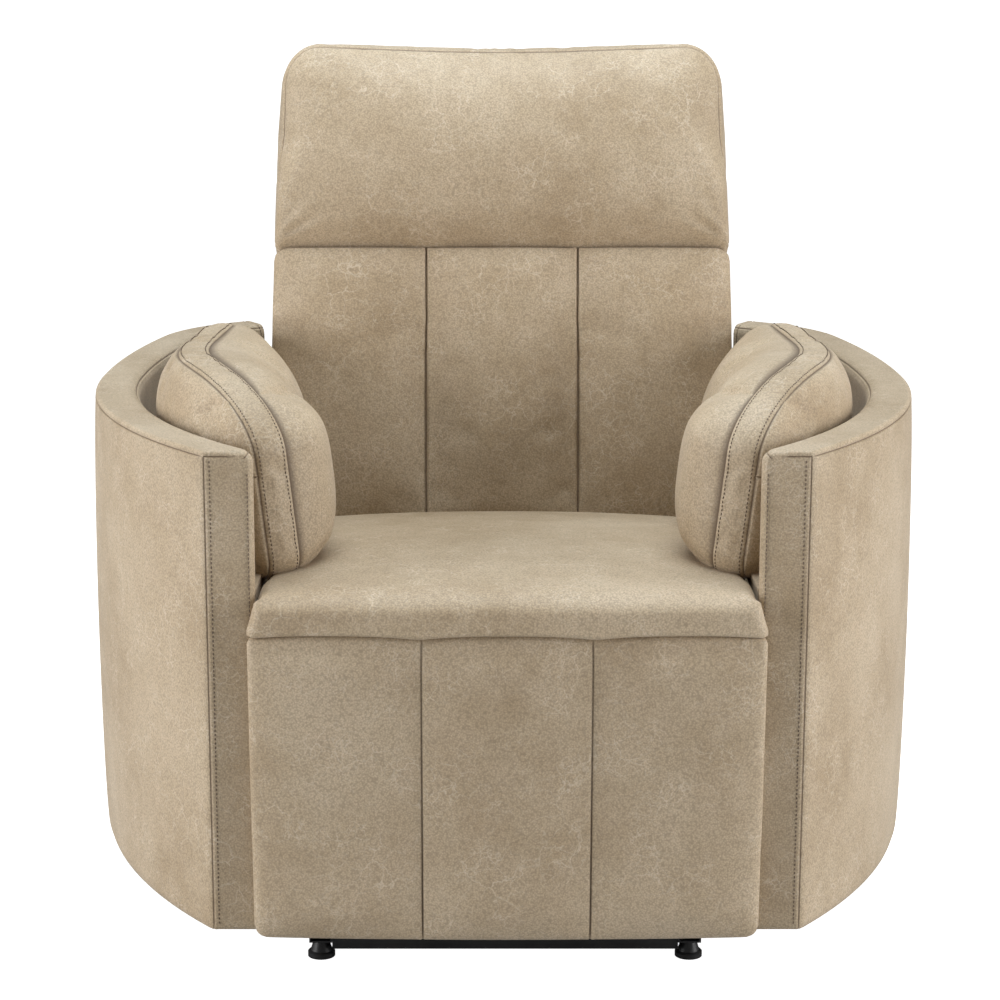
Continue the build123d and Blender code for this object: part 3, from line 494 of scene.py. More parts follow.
strip_rows = []
for strip_inset, strip_top in ((corner_seam + 0.0050, top_seam - 0.003),
                               (inner_seam - 0.0034, shell_high.z - 0.022)):
    heights = np.linspace(shell_low.z + 0.004, strip_top, 120)
    path = wall_place(np.full(120, strip_inset), np.zeros(120), heights)
    strip_rows.append((path, np.tile([0.0, -1.0, 0.0], (120, 1))))
for side, sign in (("right", 1), ("left", -1)):
    sew(f"strip_stitches_{side}", [(path * (sign, 1, 1), out * (sign, 1, 1)) for path, out in strip_rows],
        "chassis")


# ---- seat cushion -------------------------------------------------------------------------------
# One foam cushion in leather. Its nose rolls forward over the footrest's top edge and ends in a seam there.
seat_low, seat_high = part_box("seat_cushion")
footrest_low, footrest_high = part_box("footrest_cushion")
nose_under, step_y = footrest_high.z, seat_low.y + 0.080
channel_seam = 0.088
seat_crown = 0.011


def channel_puff(x, seam, half):
    """1 in the middle of each of three sewn channels and 0 at their seams and outer edges."""
    t = np.where(np.abs(x) < seam, np.abs(x) / seam, 1 - 2 * (np.abs(x) - seam) / (half - seam))
    return 1 - np.abs(np.clip(t, -1, 1))**2.6


def past_shell(x, y):
    """Sideways spread of the leather in front of the arm shells, where nothing holds it in."""
    return x * (1 + 0.034 * (1 - soft_step(y, shell_front - 0.011, shell_front - 0.001)))


def seat_shape(places):
    """Rounded slab with a notch under its nose and a crown across the top, lower towards the back. The nose is
    as wide as the footrest and square at its scalloped seam."""
    low, high = np.array(seat_low), np.array(seat_high)
    radius = np.full(places.shape, 0.034)
    ahead = 1 - soft_step(places[:, 1], low[1] + 0.05, low[1] + 0.16)
    above = soft_step(places[:, 2], low[2] + 0.01, low[2] + 0.05)
    radius[:, 0] = 0.026 - 0.014 * ahead
    radius[:, 1] = 0.004 + 0.036 * above
    radius[:, 2] = 0.004 + 0.030 * above
    points, out = rounded(places, low, high, radius)
    x, y, z = points.T
    floor_z = low[2] + (nose_under - low[2]) * (1 - soft_step(y, step_y - 0.004, step_y + 0.004))
    z = floor_z + (z - low[2]) * (high[2] - floor_z) / (high[2] - low[2])
    across = 1 - np.abs(x / high[0])**2.3
    along = 0.35 + 0.65 * soft_step(y, low[1] + 0.01, low[1] + 0.14)
    top = np.clip(out[:, 2] + 0.15, 0, 1)
    z = z + top * (seat_crown * across * along - 0.026 * soft_step(y, -0.30, 0.10))
    nose = (1 - soft_step(y, low[1] + 0.02, low[1] + 0.05)) * np.clip(1 - (z - nose_under) / 0.03, 0, 1)
    z = z + 0.004 * channel_puff(x, channel_seam, high[0]) * nose
    y = y - (0.004 + 0.006 * np.clip(1 - (z - nose_under) / 0.04, 0, 1)) * across**0.4 * np.clip(-out[:, 1], 0, 1)
    return np.stack([past_shell(x, y), y, z], axis=-1), out


seat_axes = (cuts(seat_low.x, seat_high.x, 0.006), cuts(seat_low.y, seat_high.y, 0.006),
             cuts(seat_low.z, seat_high.z, 0.005))
places, quads, _ = box_grid(seat_axes)
points, out = seat_shape(places)
make_skin("seat_pad", points, quads, leather("seat_leather", (0.3, 2.0, 0.7)), "chassis",
          ["seat_cushion"])


# ---- footrest -----------------------------------------------------------------------------------
# Padded leather panel in three sewn channels. Its top edge is sewn to the seat's nose. A plain panel of the
# same leather closes its rear.
footrest_puff = 0.011
cover_low, cover_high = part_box("footrest_rear_cover")
board_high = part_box("footrest_board")[1]
hinge_x = 0.180


def footrest_shape(places):
    """Rounded slab, soft at the foot and square at the top seam, with three puffs, a front that bulges past the
    arm shells, and slots over the hinges."""
    low, high = np.array(footrest_low), np.array([footrest_high.x, board_high.y, footrest_high.z])
    radius = np.full(places.shape, 0.016)
    lower = 1 - soft_step(places[:, 2], low[2] + 0.05, low[2] + 0.15)
    radius[:, 2] = 0.003 + 0.011 * lower
    radius[:, 1] = 0.006 + 0.002 * lower
    radius[:, 0] = 0.007 + 0.008 * lower
    points, out = rounded(places, low, high, radius)
    x, y, z = points.T
    rise = (z - low[2]) / (high[2] - low[2])
    front = np.clip(-out[:, 1], 0, 1)
    puff = channel_puff(x, channel_seam, high[0]) * (1 - soft_step(rise, 0.90, 1.0) * 0.75)
    puff = puff * soft_step(rise, -0.02, 0.10)
    y = y - front * (footrest_puff * puff - 0.002)
    x = past_shell(x, y) * (0.992 + 0.008 * np.clip(rise, 0, 1))
    z = z - (0.003 + 0.003 * (1 - np.abs(x / high[0])**2)) * (1 - soft_step(rise, 0.0, 0.1))
    z = z + 0.004 * channel_puff(x, channel_seam, high[0]) * soft_step(rise, 0.9, 1.0)
    slot = (np.abs(np.abs(x) - hinge_x) < 0.008) & (out[:, 1] > 0.2) & (z > high[2] - 0.045)
    y = np.where(slot, np.minimum(y, low[1] + 0.018), y)
    seams = [(np.abs(x) - channel_seam, front)]
    points = np.stack([x, y, z], axis=-1)
    for line, shown in seams:
        points = stitched(points, out, line, shown, depth=0.0026, width=0.0011)
    return points, seams


footrest_axes = (cuts(footrest_low.x, footrest_high.x, 0.006, -channel_seam, channel_seam),
                 cuts(footrest_low.y, board_high.y, 0.005), cuts(footrest_low.z, footrest_high.z, 0.006))
places, quads, _ = box_grid(footrest_axes)
points, seams = footrest_shape(places)
footrest = make_skin("footrest_pad", points, quads, leather("footrest_leather", (1.7, 0.4, 3.1)), None,
                     ["footrest_cushion", "footrest_board"], seam_shade(*seams))
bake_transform(footrest)


# ---- footrest's rear cover ----------------------------------------------------------------------
# Thin padded leather panel stapled over the board's rear, with notches over the two hinges.
places, quads, _ = box_grid((cuts(cover_low.x, cover_high.x, 0.008), cuts(cover_low.y, cover_high.y, 0.0015),
                             cuts(cover_low.z, footrest_high.z - 0.012, 0.007)))
low, high = places.min(axis=0), places.max(axis=0)
points, out = rounded(places, low, high, np.array([0.008, 0.0028, 0.008]))
notch = (np.abs(np.abs(points[:, 0]) - hinge_x) < 0.008) & (points[:, 2] > footrest_high.z - 0.045)
points[:, 2] = np.where(notch, footrest_high.z - 0.045, points[:, 2])
hem = np.minimum(high[0] - np.abs(points[:, 0]),
                 np.minimum(points[:, 2] - low[2], high[2] - points[:, 2])) - 0.012
points = stitched(points, out, hem, soft_step(out[:, 1], 0.7, 0.9), depth=0.0010)
make_skin("footrest_rear_panel", points, quads, leather("footrest_rear_leather", (5.1, 0.2, 1.1)), "footrest",
          ["footrest_rear_cover"], seam_shade((hem, soft_step(out[:, 1], 0.7, 0.9))))


# ---- padding ------------------------------------------------------------------------------------
# Fibre-wrapped foam swells inside its cover until the seams hold it. The covers are blown up as cloth on a
# coarse grid, and the movement is carried to the fine grid of the finished piece.
def inflate(points, quads, held, pressure, slack, limit, frames=20):
    """Where cloth blown up from these points comes to rest: held points stay, the cloth is cut larger than its
    foam by the share slack, and no point moves further than limit."""
    mesh = bpy.data.meshes.new("cover")
    mesh.from_pydata(points.tolist(), [], quads.tolist())
    cover = bpy.data.objects.new("cover", mesh)
    bpy.context.scene.collection.objects.link(cover)
    cover.vertex_groups.new(name="held").add(np.flatnonzero(held).tolist(), 1.0, "REPLACE")
    cloth = cover.modifiers.new("cloth", "CLOTH")
    cloth.settings.quality = 6
    cloth.settings.tension_stiffness = 25
    cloth.settings.compression_stiffness = 25
    cloth.settings.shear_stiffness = 12
    cloth.settings.bending_stiffness = 0.6
    cloth.settings.use_pressure = True
    cloth.settings.uniform_pressure_force = pressure
    cloth.settings.shrink_min = -slack
    cloth.settings.vertex_group_mass = "held"
    cloth.settings.effector_weights.gravity = 0.0
    cloth.point_cache.frame_start, cloth.point_cache.frame_end = 1, frames
    for frame_number in range(1, frames + 1):
        bpy.context.scene.frame_set(frame_number)
    shaped = cover.evaluated_get(bpy.context.evaluated_depsgraph_get())
    moved = np.zeros(len(points) * 3)
    shaped.data.vertices.foreach_get("co", moved)
    bpy.context.scene.frame_set(1)
    bpy.data.objects.remove(cover)
    bpy.data.meshes.remove(mesh)
    move = moved.reshape(-1, 3) - points
    size = np.linalg.norm(move, axis=1, keepdims=True)
    return move * np.tanh(size / limit) * limit / np.maximum(size, 1e-9)


def cubic_weights(coarse, fine):
    """Rows of weights that carry values from coarse places to fine ones along a cubic curve through them, its
    slopes taken from the neighbours."""
    unity = np.eye(len(coarse))
    slope = np.gradient(unity, coarse, axis=0)
    cell = np.clip(np.searchsorted(coarse, fine, side="right") - 1, 0, len(coarse) - 2)
    width = (coarse[cell + 1] - coarse[cell])[:, None]
    t = (fine - coarse[cell])[:, None] / width
    return ((2 * t**3 - 3 * t**2 + 1) * unity[cell] + (3 * t**2 - 2 * t**3) * unity[cell + 1]
            + width * ((t**3 - 2 * t**2 + t) * slope[cell] + (t**3 - t**2) * slope[cell + 1]))


def carry(values, coarse_axes, coarse_number, fine_axes, fine_number):
    """Values at the points of a coarse box grid, carried face by face to a fine grid of the same box."""
    carried = np.zeros((fine_number.max() + 1, 3))
    weights = [cubic_weights(coarse, fine) for coarse, fine in zip(coarse_axes, fine_axes)]
    for axis, (a, b) in enumerate(((1, 2), (0, 2), (0, 1))):
        for end in (0, -1):
            grid = values[np.take(coarse_number, end, axis)]
            carried[np.take(fine_number, end, axis)] = np.einsum("ia,abk,jb->ijk", weights[a], grid, weights[b])
    return carried


def swollen(shape, fine_axes, step, seams_at, held, pressure, slack, limit):
    """Movement of every fine point as a padded cover swells: its shape is worked out on a coarse grid with cuts
    at the seams, blown up, and carried to the fine grid."""
    coarse_axes = tuple(np.unique(np.concatenate([np.linspace(axis[0], axis[-1], round((axis[-1] - axis[0]) / step) + 2),
                                                  seam])) for axis, seam in zip(fine_axes, seams_at))
    coarse_axes = tuple(axis[np.concatenate([[True], np.diff(axis) > 0.002])] for axis in coarse_axes)
    places, quads, number = box_grid(coarse_axes)
    points, out = shape(places)[:2]
    move = inflate(points, quads, held(places, points, out), pressure, slack, limit)
    return carry(move, coarse_axes, number, fine_axes, box_grid(fine_axes)[2])


# ---- back cushion -------------------------------------------------------------------------------
# Foam pad in a leather cover with three upright channels. Its foot is round about the recline pivot and its
# top is hollow, so that the headrest's round underside turns in it.
recline_y, recline_z = joint["back_recline"]["pos_m"][1:]
tilt_y, tilt_z = joint["headrest_tilt"]["pos_m"][1:]
lean = radians(12.0)
back_thick, back_half = 0.120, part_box("back_cushion")[1].x
crease_rise, back_seam = 0.3435, 0.092
headrest_arc, headrest_mid = 0.105, 0.070
tilt_rise = (tilt_y - recline_y) * sin(lean) + (tilt_z - recline_z) * cos(lean)


def leaning(points):
    """From (x, depth behind the back's front, rise along it from the pivot) to world places."""
    x, depth, rise = points.T
    behind = depth - back_thick / 2
    return np.stack([x, recline_y + behind * cos(lean) + rise * sin(lean),
                     recline_z - behind * sin(lean) + rise * cos(lean)], axis=-1)


def underside_rise(depth):
    """Rise of the headrest's round underside at a depth."""
    return tilt_rise - np.sqrt(np.maximum(headrest_arc**2 - (depth - headrest_mid)**2, 1e-6))


def back_shape(places):
    """Pad with its foot rounded over, its top hollowed to the headrest, and three puffs on its front."""
    low, high = np.array([-back_half, 0, -0.060]), np.array([back_half, back_thick, crease_rise])
    radius = np.full(places.shape, 0.022)
    upper = soft_step(places[:, 2], 0.14, 0.30)
    radius[:, 1] = 0.024 + 0.036 * (1 - soft_step(places[:, 2], 0.00, 0.12)) - 0.012 * upper
    radius[:, 2] = 0.060 - 0.050 * upper
    points, out = rounded(places, low, high, radius)
    x, depth, rise = points.T
    rise = rise + soft_step(rise, 0.250, crease_rise) * (underside_rise(depth) - crease_rise)
    front = np.clip(-out[:, 1], 0, 1)
    puff = channel_puff(x, back_seam, back_half) * (0.45 + 0.55 * soft_step(rise, 0.0, 0.10))
    puff = puff * (1 - 0.5 * soft_step(rise, crease_rise - 0.04, crease_rise))
    depth = depth - front * (0.013 * puff - 0.003)
    x = x * (0.994 - 0.016 * soft_step(rise, 0.16, crease_rise))
    seams = [(np.abs(x) - back_seam, front),
             (depth - 0.016, soft_step(np.abs(out[:, 0]), 0.6, 0.9))]
    points = np.stack([x, depth, rise], axis=-1)
    points = stitched(points, out, seams[0][0], seams[0][1], depth=0.0034, width=0.0013)
    points = stitched(points, out, seams[1][0], seams[1][1], depth=0.0014)
    return leaning(points), out, seams


back_axes = (cuts(-back_half, back_half, 0.006, -back_seam, back_seam), cuts(0, back_thick, 0.006, 0.016),
             cuts(-0.060, crease_rise, 0.0065))
places, quads, _ = box_grid(back_axes)
points, out, seams = back_shape(places)
points = points + swollen(back_shape, back_axes, 0.012, ([-back_seam, back_seam], [], []),
                          lambda p, w, o: (o[:, 1] > -0.3) | (np.abs(np.abs(p[:, 0]) - back_seam) < 0.001)
                          | (p[:, 2] < 0.02) | (p[:, 2] > crease_rise - 0.012), 3.0, 0.003, 0.012)
make_skin("back_pad", points, quads, leather("back_leather", (0.9, 3.3, 1.9)), "backrest", ["back_cushion"],
          seam_shade(*seams))


# ---- back's rear cover --------------------------------------------------------------------------
# Leather over thin foam. It wraps the wooden frame's sides and closes the back from behind; a seam runs
# along its edge.
rear_start, rear_depth = back_thick - 0.001, 0.1695


def rear_cover_shape(places):
    """Slab around the frame with soft rear edges and a slightly crowned rear face."""
    low, high = places.min(axis=0), places.max(axis=0)
    radius = np.where(places[:, 1:2] > (low[1] + high[1]) / 2, np.array([0.012, 0.010, 0.014]), 0.001)
    points, out = rounded(places, low, high, radius)
    crown = np.cos(points[:, 0] / back_half * pi / 2) * np.sin(pi * (points[:, 2] - low[2]) / (high[2] - low[2]))
    points[:, 1] += 0.006 * crown * np.clip(out[:, 1], 0, 1)
    edge = back_half - np.abs(points[:, 0])
    seams = [(edge - 0.016, soft_step(out[:, 1], 0.6, 0.9)),
             (np.abs(points[:, 0]) - back_seam, soft_step(out[:, 1], 0.6, 0.9))]
    for line, shown in seams:
        points = stitched(points, out, line, shown, depth=0.0018)
    return leaning(points), out, seams


rear_low = -0.018
places, quads, _ = box_grid((cuts(-back_half - 0.002, back_half + 0.002, 0.007,
                                  -back_half + 0.016, back_half - 0.016, -back_seam, back_seam),
                             cuts(rear_start, rear_depth, 0.006), cuts(rear_low, crease_rise - 0.007, 0.008)))
points, out, seams = rear_cover_shape(places)
make_skin("back_rear_cover", points, quads, leather("back_rear_leather", (2.9, 5.3, 0.9)), "backrest",
          ["back_outer_panel"], seam_shade(*seams))


# ---- headrest -----------------------------------------------------------------------------------
# Plump foam cushion around a board. It overhangs the back's front, and its cover is gathered at the two
# lower corners, where the front panel is pulled under.
headrest_half, headrest_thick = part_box("headrest_cushion")[1].x, 0.140
headrest_top = tilt_rise + 0.168
headrest_low = crease_rise - 0.0265
panel_seam = 0.017


def headrest_shape(places):
    """Rounded slab whose underside is an arc about the tilt axis, plump in front, narrower at the top, dipped
    along its top edge and folded at its lower corners."""
    low = np.array([-headrest_half, 0, headrest_low])
    high = np.array([headrest_half, headrest_thick, headrest_top])
    radius = np.full(places.shape, 0.020)
    upper = soft_step(places[:, 2], headrest_low + 0.08, headrest_low + 0.16)
    radius[:, 0] = 0.016 + 0.032 * upper
    radius[:, 2] = 0.012 + 0.042 * upper
    radius[:, 1] = 0.014 + 0.016 * upper
    points, out = rounded(places, low, high, radius)
    x, depth, rise = points.T
    edge_depth = depth.copy()
    lower = 1 - soft_step(rise, headrest_low, headrest_low + 0.110)
    rise = rise + lower * (underside_rise(depth) + 0.0012 - headrest_low)
    t = np.clip((rise - crease_rise) / (headrest_top - crease_rise), 0, 1)
    across = 1 - np.abs(x / headrest_half)**5
    front = np.clip(-out[:, 1] + 0.25 * np.clip(-out[:, 2], 0, 1), 0, 1)
    plump = np.sin(pi * t**0.72)**0.8
    depth = depth - front * (0.004 + 0.030 * plump * (0.25 + 0.75 * across) - 0.004 * t)
    depth = depth + np.clip(out[:, 1], 0, 1) * 0.006 * across * np.sin(pi * t)
    x = x * (0.986 - 0.034 * t)
    rise = rise - 0.007 * np.cos(x / headrest_half * pi / 2)**2 * soft_step(t, 0.8, 1.0)
    corner_x, corner_rise = headrest_half - np.abs(x), rise - crease_rise
    far = np.hypot(corner_x, corner_rise)
    angle = np.arctan2(corner_rise, np.maximum(corner_x, 1e-5))
    fold = ridge(angle, 0.50, 0.13) * 0.0085 - ridge(angle, 0.24, 0.14) * 0.0040 + ridge(angle, 1.00, 0.12) * 0.0045
    depth = depth + front * fold * soft_step(far, 0.0, 0.016) * np.exp(-(far / 0.050)**2)
    seams = [(edge_depth - panel_seam, soft_step(np.maximum(np.abs(out[:, 0]), out[:, 2]), 0.45, 0.70))]
    points = np.stack([x, depth, rise], axis=-1)
    points = stitched(points, out, seams[0][0], seams[0][1], depth=0.0018, width=0.0014)
    return leaning(points), out, seams


def within_arc(points):
    """Draws the lower front in to the underside's arc about the tilt axis, so that it clears the back as it
    rolls forward."""
    y, z = points[:, 1] - tilt_y, points[:, 2] - tilt_z
    depth, rise = y * cos(lean) - z * sin(lean), y * sin(lean) + z * cos(lean)
    drawn = soft_step(-rise, 0.024, 0.044) * (depth < 0)
    scale = 1 + drawn * (np.minimum(1, (headrest_arc - 0.0012) / np.hypot(y, z)) - 1)
    return np.stack([points[:, 0], tilt_y + y * scale, tilt_z + z * scale], axis=-1)


headrest_axes = (cuts(-headrest_half, headrest_half, 0.006), cuts(0, headrest_thick, 0.006, panel_seam),
                 cuts(headrest_low, headrest_top, 0.0055))
places, quads, _ = box_grid(headrest_axes)
points, out, seams = headrest_shape(places)
points = points + swollen(headrest_shape, headrest_axes, 0.012, ([], [panel_seam], []),
                          lambda p, w, o: (o[:, 1] > 0.3) | (o[:, 2] < -0.6)
                          | (np.abs(p[:, 1] - panel_seam) < 0.001)
                          | (p[:, 2] < headrest_low + 0.012), 3.0, 0.004, 0.010)
make_skin("headrest_pad", within_arc(points), quads, leather("headrest_leather", (4.3, 0.8, 2.6)), "headrest",
          ["headrest_cushion", "headrest_rear_pad", "headrest_board"], seam_shade(*seams))


# ---- arm cushions -------------------------------------------------------------------------------
# Box-edged cushions of soft fibre, bent along the shells. A plump inner face and a flatter outer one are
# sewn to a flat band with a stitched seam on each side of it.
cushion_length, cushion_height, band = 0.490, 0.212, 0.035
inner_dome, inner_dome_rear, outer_dome = 0.090, 0.064, 0.032
nose_rise, nose_run, tail_round, foot_round = 0.075, 0.200, 0.060, 0.030
cushion_front = np.array([0.2310, -0.376, 0.4300])
cushion_toe, cushion_turn, cushion_tilt = radians(27.0), radians(31.0), radians(7.0)
pocket_seam = 0.118
spine_run = np.linspace(-0.02, cushion_length + 0.02, 107)
spine_toe = cushion_toe - cushion_turn * soft_step(spine_run, 0.12, 0.32)
spine_step = np.gradient(spine_run)
spine_x = np.cumsum(np.sin(spine_toe) * spine_step)
spine_y = np.cumsum(np.cos(spine_toe) * spine_step)
spine_x -= np.interp(0.0, spine_run, spine_x)
spine_y -= np.interp(0.0, spine_run, spine_y)


def arm_cushion_place(points):
    """From (thickness, length, height) to world places: tilted out about its length, then laid along a spine
    whose heading eases from the toe-out at the front to nearly straight behind."""
    u, v, w = points.T
    across, z = u * cos(cushion_tilt) + w * sin(cushion_tilt), w * cos(cushion_tilt) - u * sin(cushion_tilt)
    toe = np.interp(v, spine_run, spine_toe)
    return np.stack([cushion_front[0] + np.interp(v, spine_run, spine_x) + across * np.cos(toe),
                     cushion_front[1] + np.interp(v, spine_run, spine_y) - across * np.sin(toe),
                     cushion_front[2] + z], axis=-1)


def arm_cushion_shape(places):
    """Band outline with its own radius at each corner: a point in a corner's square goes to the quarter disc
    along its ray. Each face is an elliptic dome over that outline, so it leaves the band squarely."""
    u, v, w = places.T
    ahead, above = v < cushion_length / 2, w > cushion_height / 2
    radius_w = np.where(above, np.where(ahead, nose_rise, tail_round), foot_round)
    radius_v = np.where(above, np.where(ahead, nose_run, tail_round), foot_round)
    core_v = np.clip(v, radius_v, cushion_length - radius_v)
    core_w = np.clip(w, radius_w, cushion_height - radius_w)
    off_v, off_w = (v - core_v) / radius_v, (w - core_w) / radius_w
    square, disc = np.maximum(np.abs(off_v), np.abs(off_w)), np.hypot(off_v, off_w)
    scale = square / np.maximum(disc, 1e-9)
    flat_v, flat_w = core_v + off_v * scale * radius_v, core_w + off_w * scale * radius_w
    a, b = 2 * v / cushion_length - 1, 2 * w / cushion_height - 1
    dome = np.maximum(1 - np.abs(a)**3.6, 0) * np.maximum(1 - np.abs(b)**np.where(b > 0, 2.2, 4.0), 0)
    side = np.clip(u / (band / 2), -1, 1)
    on_face = np.abs(side) > 0.999
    inner = inner_dome + (inner_dome_rear - inner_dome) * soft_step(a, 0.2, 1.0)
    thick = u + np.sign(side) * on_face * np.where(side > 0, outer_dome, inner) * dome**0.5
    rim = square > 0.999
    out_flat = unit(np.stack([np.zeros_like(u), off_v * rim / radius_v, off_w * rim / radius_w], axis=-1))
    rim = rim & ~(on_face & (dome > 1e-6))
    sink = 0.003 * (1 - side**2) - 0.0012 * ridge(np.abs(u), band / 2, 0.0012)
    points = np.stack([thick, flat_v, flat_w], axis=-1) + out_flat * (sink * rim)[:, None]
    out = unit(np.where(on_face[:, None], np.stack([np.sign(side), 0 * u, 0 * u], axis=-1) + 0.7 * out_flat, out_flat))
    pocket = np.where(on_face & (side > 0), w - pocket_seam, 0.02)
    points[:, 0] -= 0.0022 * ridge(pocket, 0, 0.0014)
    points[:, 2] = np.maximum(points[:, 2], 0.0)
    return arm_cushion_place(points), out, [(np.where(rim, np.abs(u) - band / 2, 0.02), 1.0), (pocket, 1.0)]


cushion_axes = (cuts(-band / 2, band / 2, 0.0045, -band / 2, band / 2),
                cuts(0, cushion_length, 0.0055, 0, cushion_length),
                cuts(0, cushion_height, 0.0055, 0, pocket_seam, cushion_height))
places, quads, number = box_grid(cushion_axes)
points, out, seams = arm_cushion_shape(places)
points = points + swollen(arm_cushion_shape, cushion_axes, 0.011, ([], [], []),
                          lambda p, w, o: (np.abs(np.abs(p[:, 0]) - band / 2) < 0.001) & (
                              (p[:, 1] < 0.001) | (p[:, 1] > cushion_length - 0.001) | (p[:, 2] < 0.001)
                              | (p[:, 2] > cushion_height - 0.001)) | (p[:, 2] < 0.004), 3.0, 0.012, 0.010)
cushion_rows = []
for row in np.searchsorted(cushion_axes[0], (-band / 2 + 0.0037, band / 2 - 0.0039)):
    rim = np.concatenate([number[row, 20:0:-1, 0], number[row, 0, :], number[row, 1:, -1]])
    path = points[rim]
    outward = unit(path - np.array([path[:, 0].mean(), path[:, 1].mean(), cushion_front[2] + 0.07]))
    cushion_rows.append((path, outward))
for side, sign in (("right", 1), ("left", -1)):
    make_skin(f"arm_pad_{side}", points * (sign, 1, 1), quads,
              leather(f"arm_pad_leather_{side}", (6.1 * sign, 1.5, 0.4)),
              "chassis", [f"arm_cushion_{side}"], seam_shade(*seams))
    sew(f"arm_pad_stitches_{side}",
        [(path * (sign, 1, 1), outward * (sign, 1, 1)) for path, outward in cushion_rows],
        "chassis")


# ---- tub's rear panel ---------------------------------------------------------------------------
# Padded leather panel between the shells' rear ends, tucked in behind a seam along its edge.
panel_low, panel_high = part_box("rear_panel")
panel_half = panel_high.x + 0.003
places, quads, _ = box_grid((cuts(-panel_half, panel_half, 0.008), cuts(panel_low.y, panel_high.y, 0.005),
                             cuts(panel_low.z, panel_high.z, 0.008)))
low, high = places.min(axis=0), places.max(axis=0)
points, out = rounded(places, low, high, np.array([0.003, 0.006, 0.006]))
margin = np.minimum(panel_half - np.abs(points[:, 0]),
                    np.minimum(points[:, 2] - panel_low.z, panel_high.z - points[:, 2]))
points[:, 1] += 0.004 * soft_step(margin, 0.0, 0.09) * np.clip(out[:, 1], 0, 1)
hem, shown = margin - 0.014, soft_step(out[:, 1], 0.7, 0.9)
points = stitched(points, out, hem, shown, depth=0.0014)
make_skin("tub_rear_panel", points, quads, leather("tub_rear_leather", (7.7, 2.2, 4.4)), "chassis",
          ["rear_panel"],
          seam_shade((hem, shown)))


# ---- steel, timber and webbing ------------------------------------------------------------------
# The mechanism is steel with a fine black powder coat, its pins and bolts are zinc plated, the frame is
# plywood and pine, the springs are oiled wire, the feet are moulded plastic and the straps are woven jute.
micro = new_group("worn_surface", [("Base", "Color"), ("Grain", "Float"), ("Wear", "Float")],
                  [("Colour", "Color"), ("Roughness", "Float"), ("Height", "Float")])
micro_in = micro.nodes.new("NodeGroupInput")
micro_place = micro.nodes.new("ShaderNodeTexCoord").outputs["Object"]
orange_peel = add(micro, "ShaderNodeTexNoise", detail=3.0)
link(micro, micro_place, orange_peel.inputs["Vector"])
link(micro, micro_in.outputs["Grain"], orange_peel.inputs["Scale"])
smears = add(micro, "ShaderNodeTexNoise", scale=9.0, detail=6.0, roughness=0.7)
link(micro, micro_place, smears.inputs["Vector"])
smear_mask = calc(micro, "MULTIPLY",
                  ramp(micro, smears.outputs["Fac"], [(0.45, grey(0.0)), (0.75, grey(1.0))]),
                  micro_in.outputs["Wear"])
micro_out = micro.nodes.new("NodeGroupOutput")
link(micro, mix(micro, smear_mask, micro_in.outputs["Base"], (0.32, 0.31, 0.30)), micro_out.inputs["Colour"])
link(micro, calc(micro, "ADD", calc(micro, "MULTIPLY", orange_peel.outputs["Fac"], 0.25),
                 calc(micro, "MULTIPLY", smear_mask, 0.25)), micro_out.inputs["Roughness"])
link(micro, orange_peel.outputs["Fac"], micro_out.inputs["Height"])


def hard_surface(name, colour, roughness, metallic, grain, wear, bump_strength):
    """Metal or plastic: its colour with faint smears and a fine peel."""
    material = bpy.data.materials.new(name)
    material.use_nodes = True
    tree = material.node_tree
    shader = tree.nodes["Principled BSDF"]
    finish = tree.nodes.new("ShaderNodeGroup")
    finish.node_tree = micro
    finish.inputs["Base"].default_value = (*colour, 1.0)
    finish.inputs["Grain"].default_value = grain
    finish.inputs["Wear"].default_value = wear
    bump = add(tree, "ShaderNodeBump", strength=bump_strength, distance=0.0003)
    link(tree, finish.outputs["Colour"], shader.inputs["Base Color"])
    link(tree, calc(tree, "ADD", finish.outputs["Roughness"], roughness), shader.inputs["Roughness"])
    link(tree, finish.outputs["Height"], bump.inputs["Height"])
    link(tree, bump.outputs["Normal"], shader.inputs["Normal"])
    shader.inputs["Metallic"].default_value = metallic
    return material


def stretched_place(tree, scale):
    """Object coordinates scaled by its own number along each axis."""
    coordinates = tree.nodes.new("ShaderNodeTexCoord")
    mapping = tree.nodes.new("ShaderNodeMapping")
    mapping.inputs["Scale"].default_value = scale
    link(tree, coordinates.outputs["Object"], mapping.inputs["Vector"])
    return mapping.outputs["Vector"]


def timber(name, grain_along, light, dark):
    """Sawn wood: rings stretched along the board, with fine pores."""
    material = bpy.data.materials.new(name)
    material.use_nodes = True
    tree = material.node_tree
    shader = tree.nodes["Principled BSDF"]
    rings = add(tree, "ShaderNodeTexNoise", scale=1.0, detail=5.0, roughness=0.6, distortion=0.6)
    pores = add(tree, "ShaderNodeTexNoise", scale=1.0, detail=2.0)
    link(tree, stretched_place(tree, tuple(6.0 if k == grain_along else 75.0 for k in range(3))),
         rings.inputs["Vector"])
    link(tree, stretched_place(tree, tuple(40.0 if k == grain_along else 900.0 for k in range(3))),
         pores.inputs["Vector"])
    colour = ramp(tree, rings.outputs["Fac"], [(0.35, dark), (0.60, light)])
    colour = mix(tree, 1.0, colour, ramp(tree, pores.outputs["Fac"], [(0.35, grey(0.78)), (0.6, grey(1.05))]),
                 "MULTIPLY")
    bump = add(tree, "ShaderNodeBump", strength=0.25, distance=0.0004)
    link(tree, colour, shader.inputs["Base Color"])
    link(tree, pores.outputs["Fac"], bump.inputs["Height"])
    link(tree, bump.outputs["Normal"], shader.inputs["Normal"])
    shader.inputs["Roughness"].default_value = 0.7
    return material


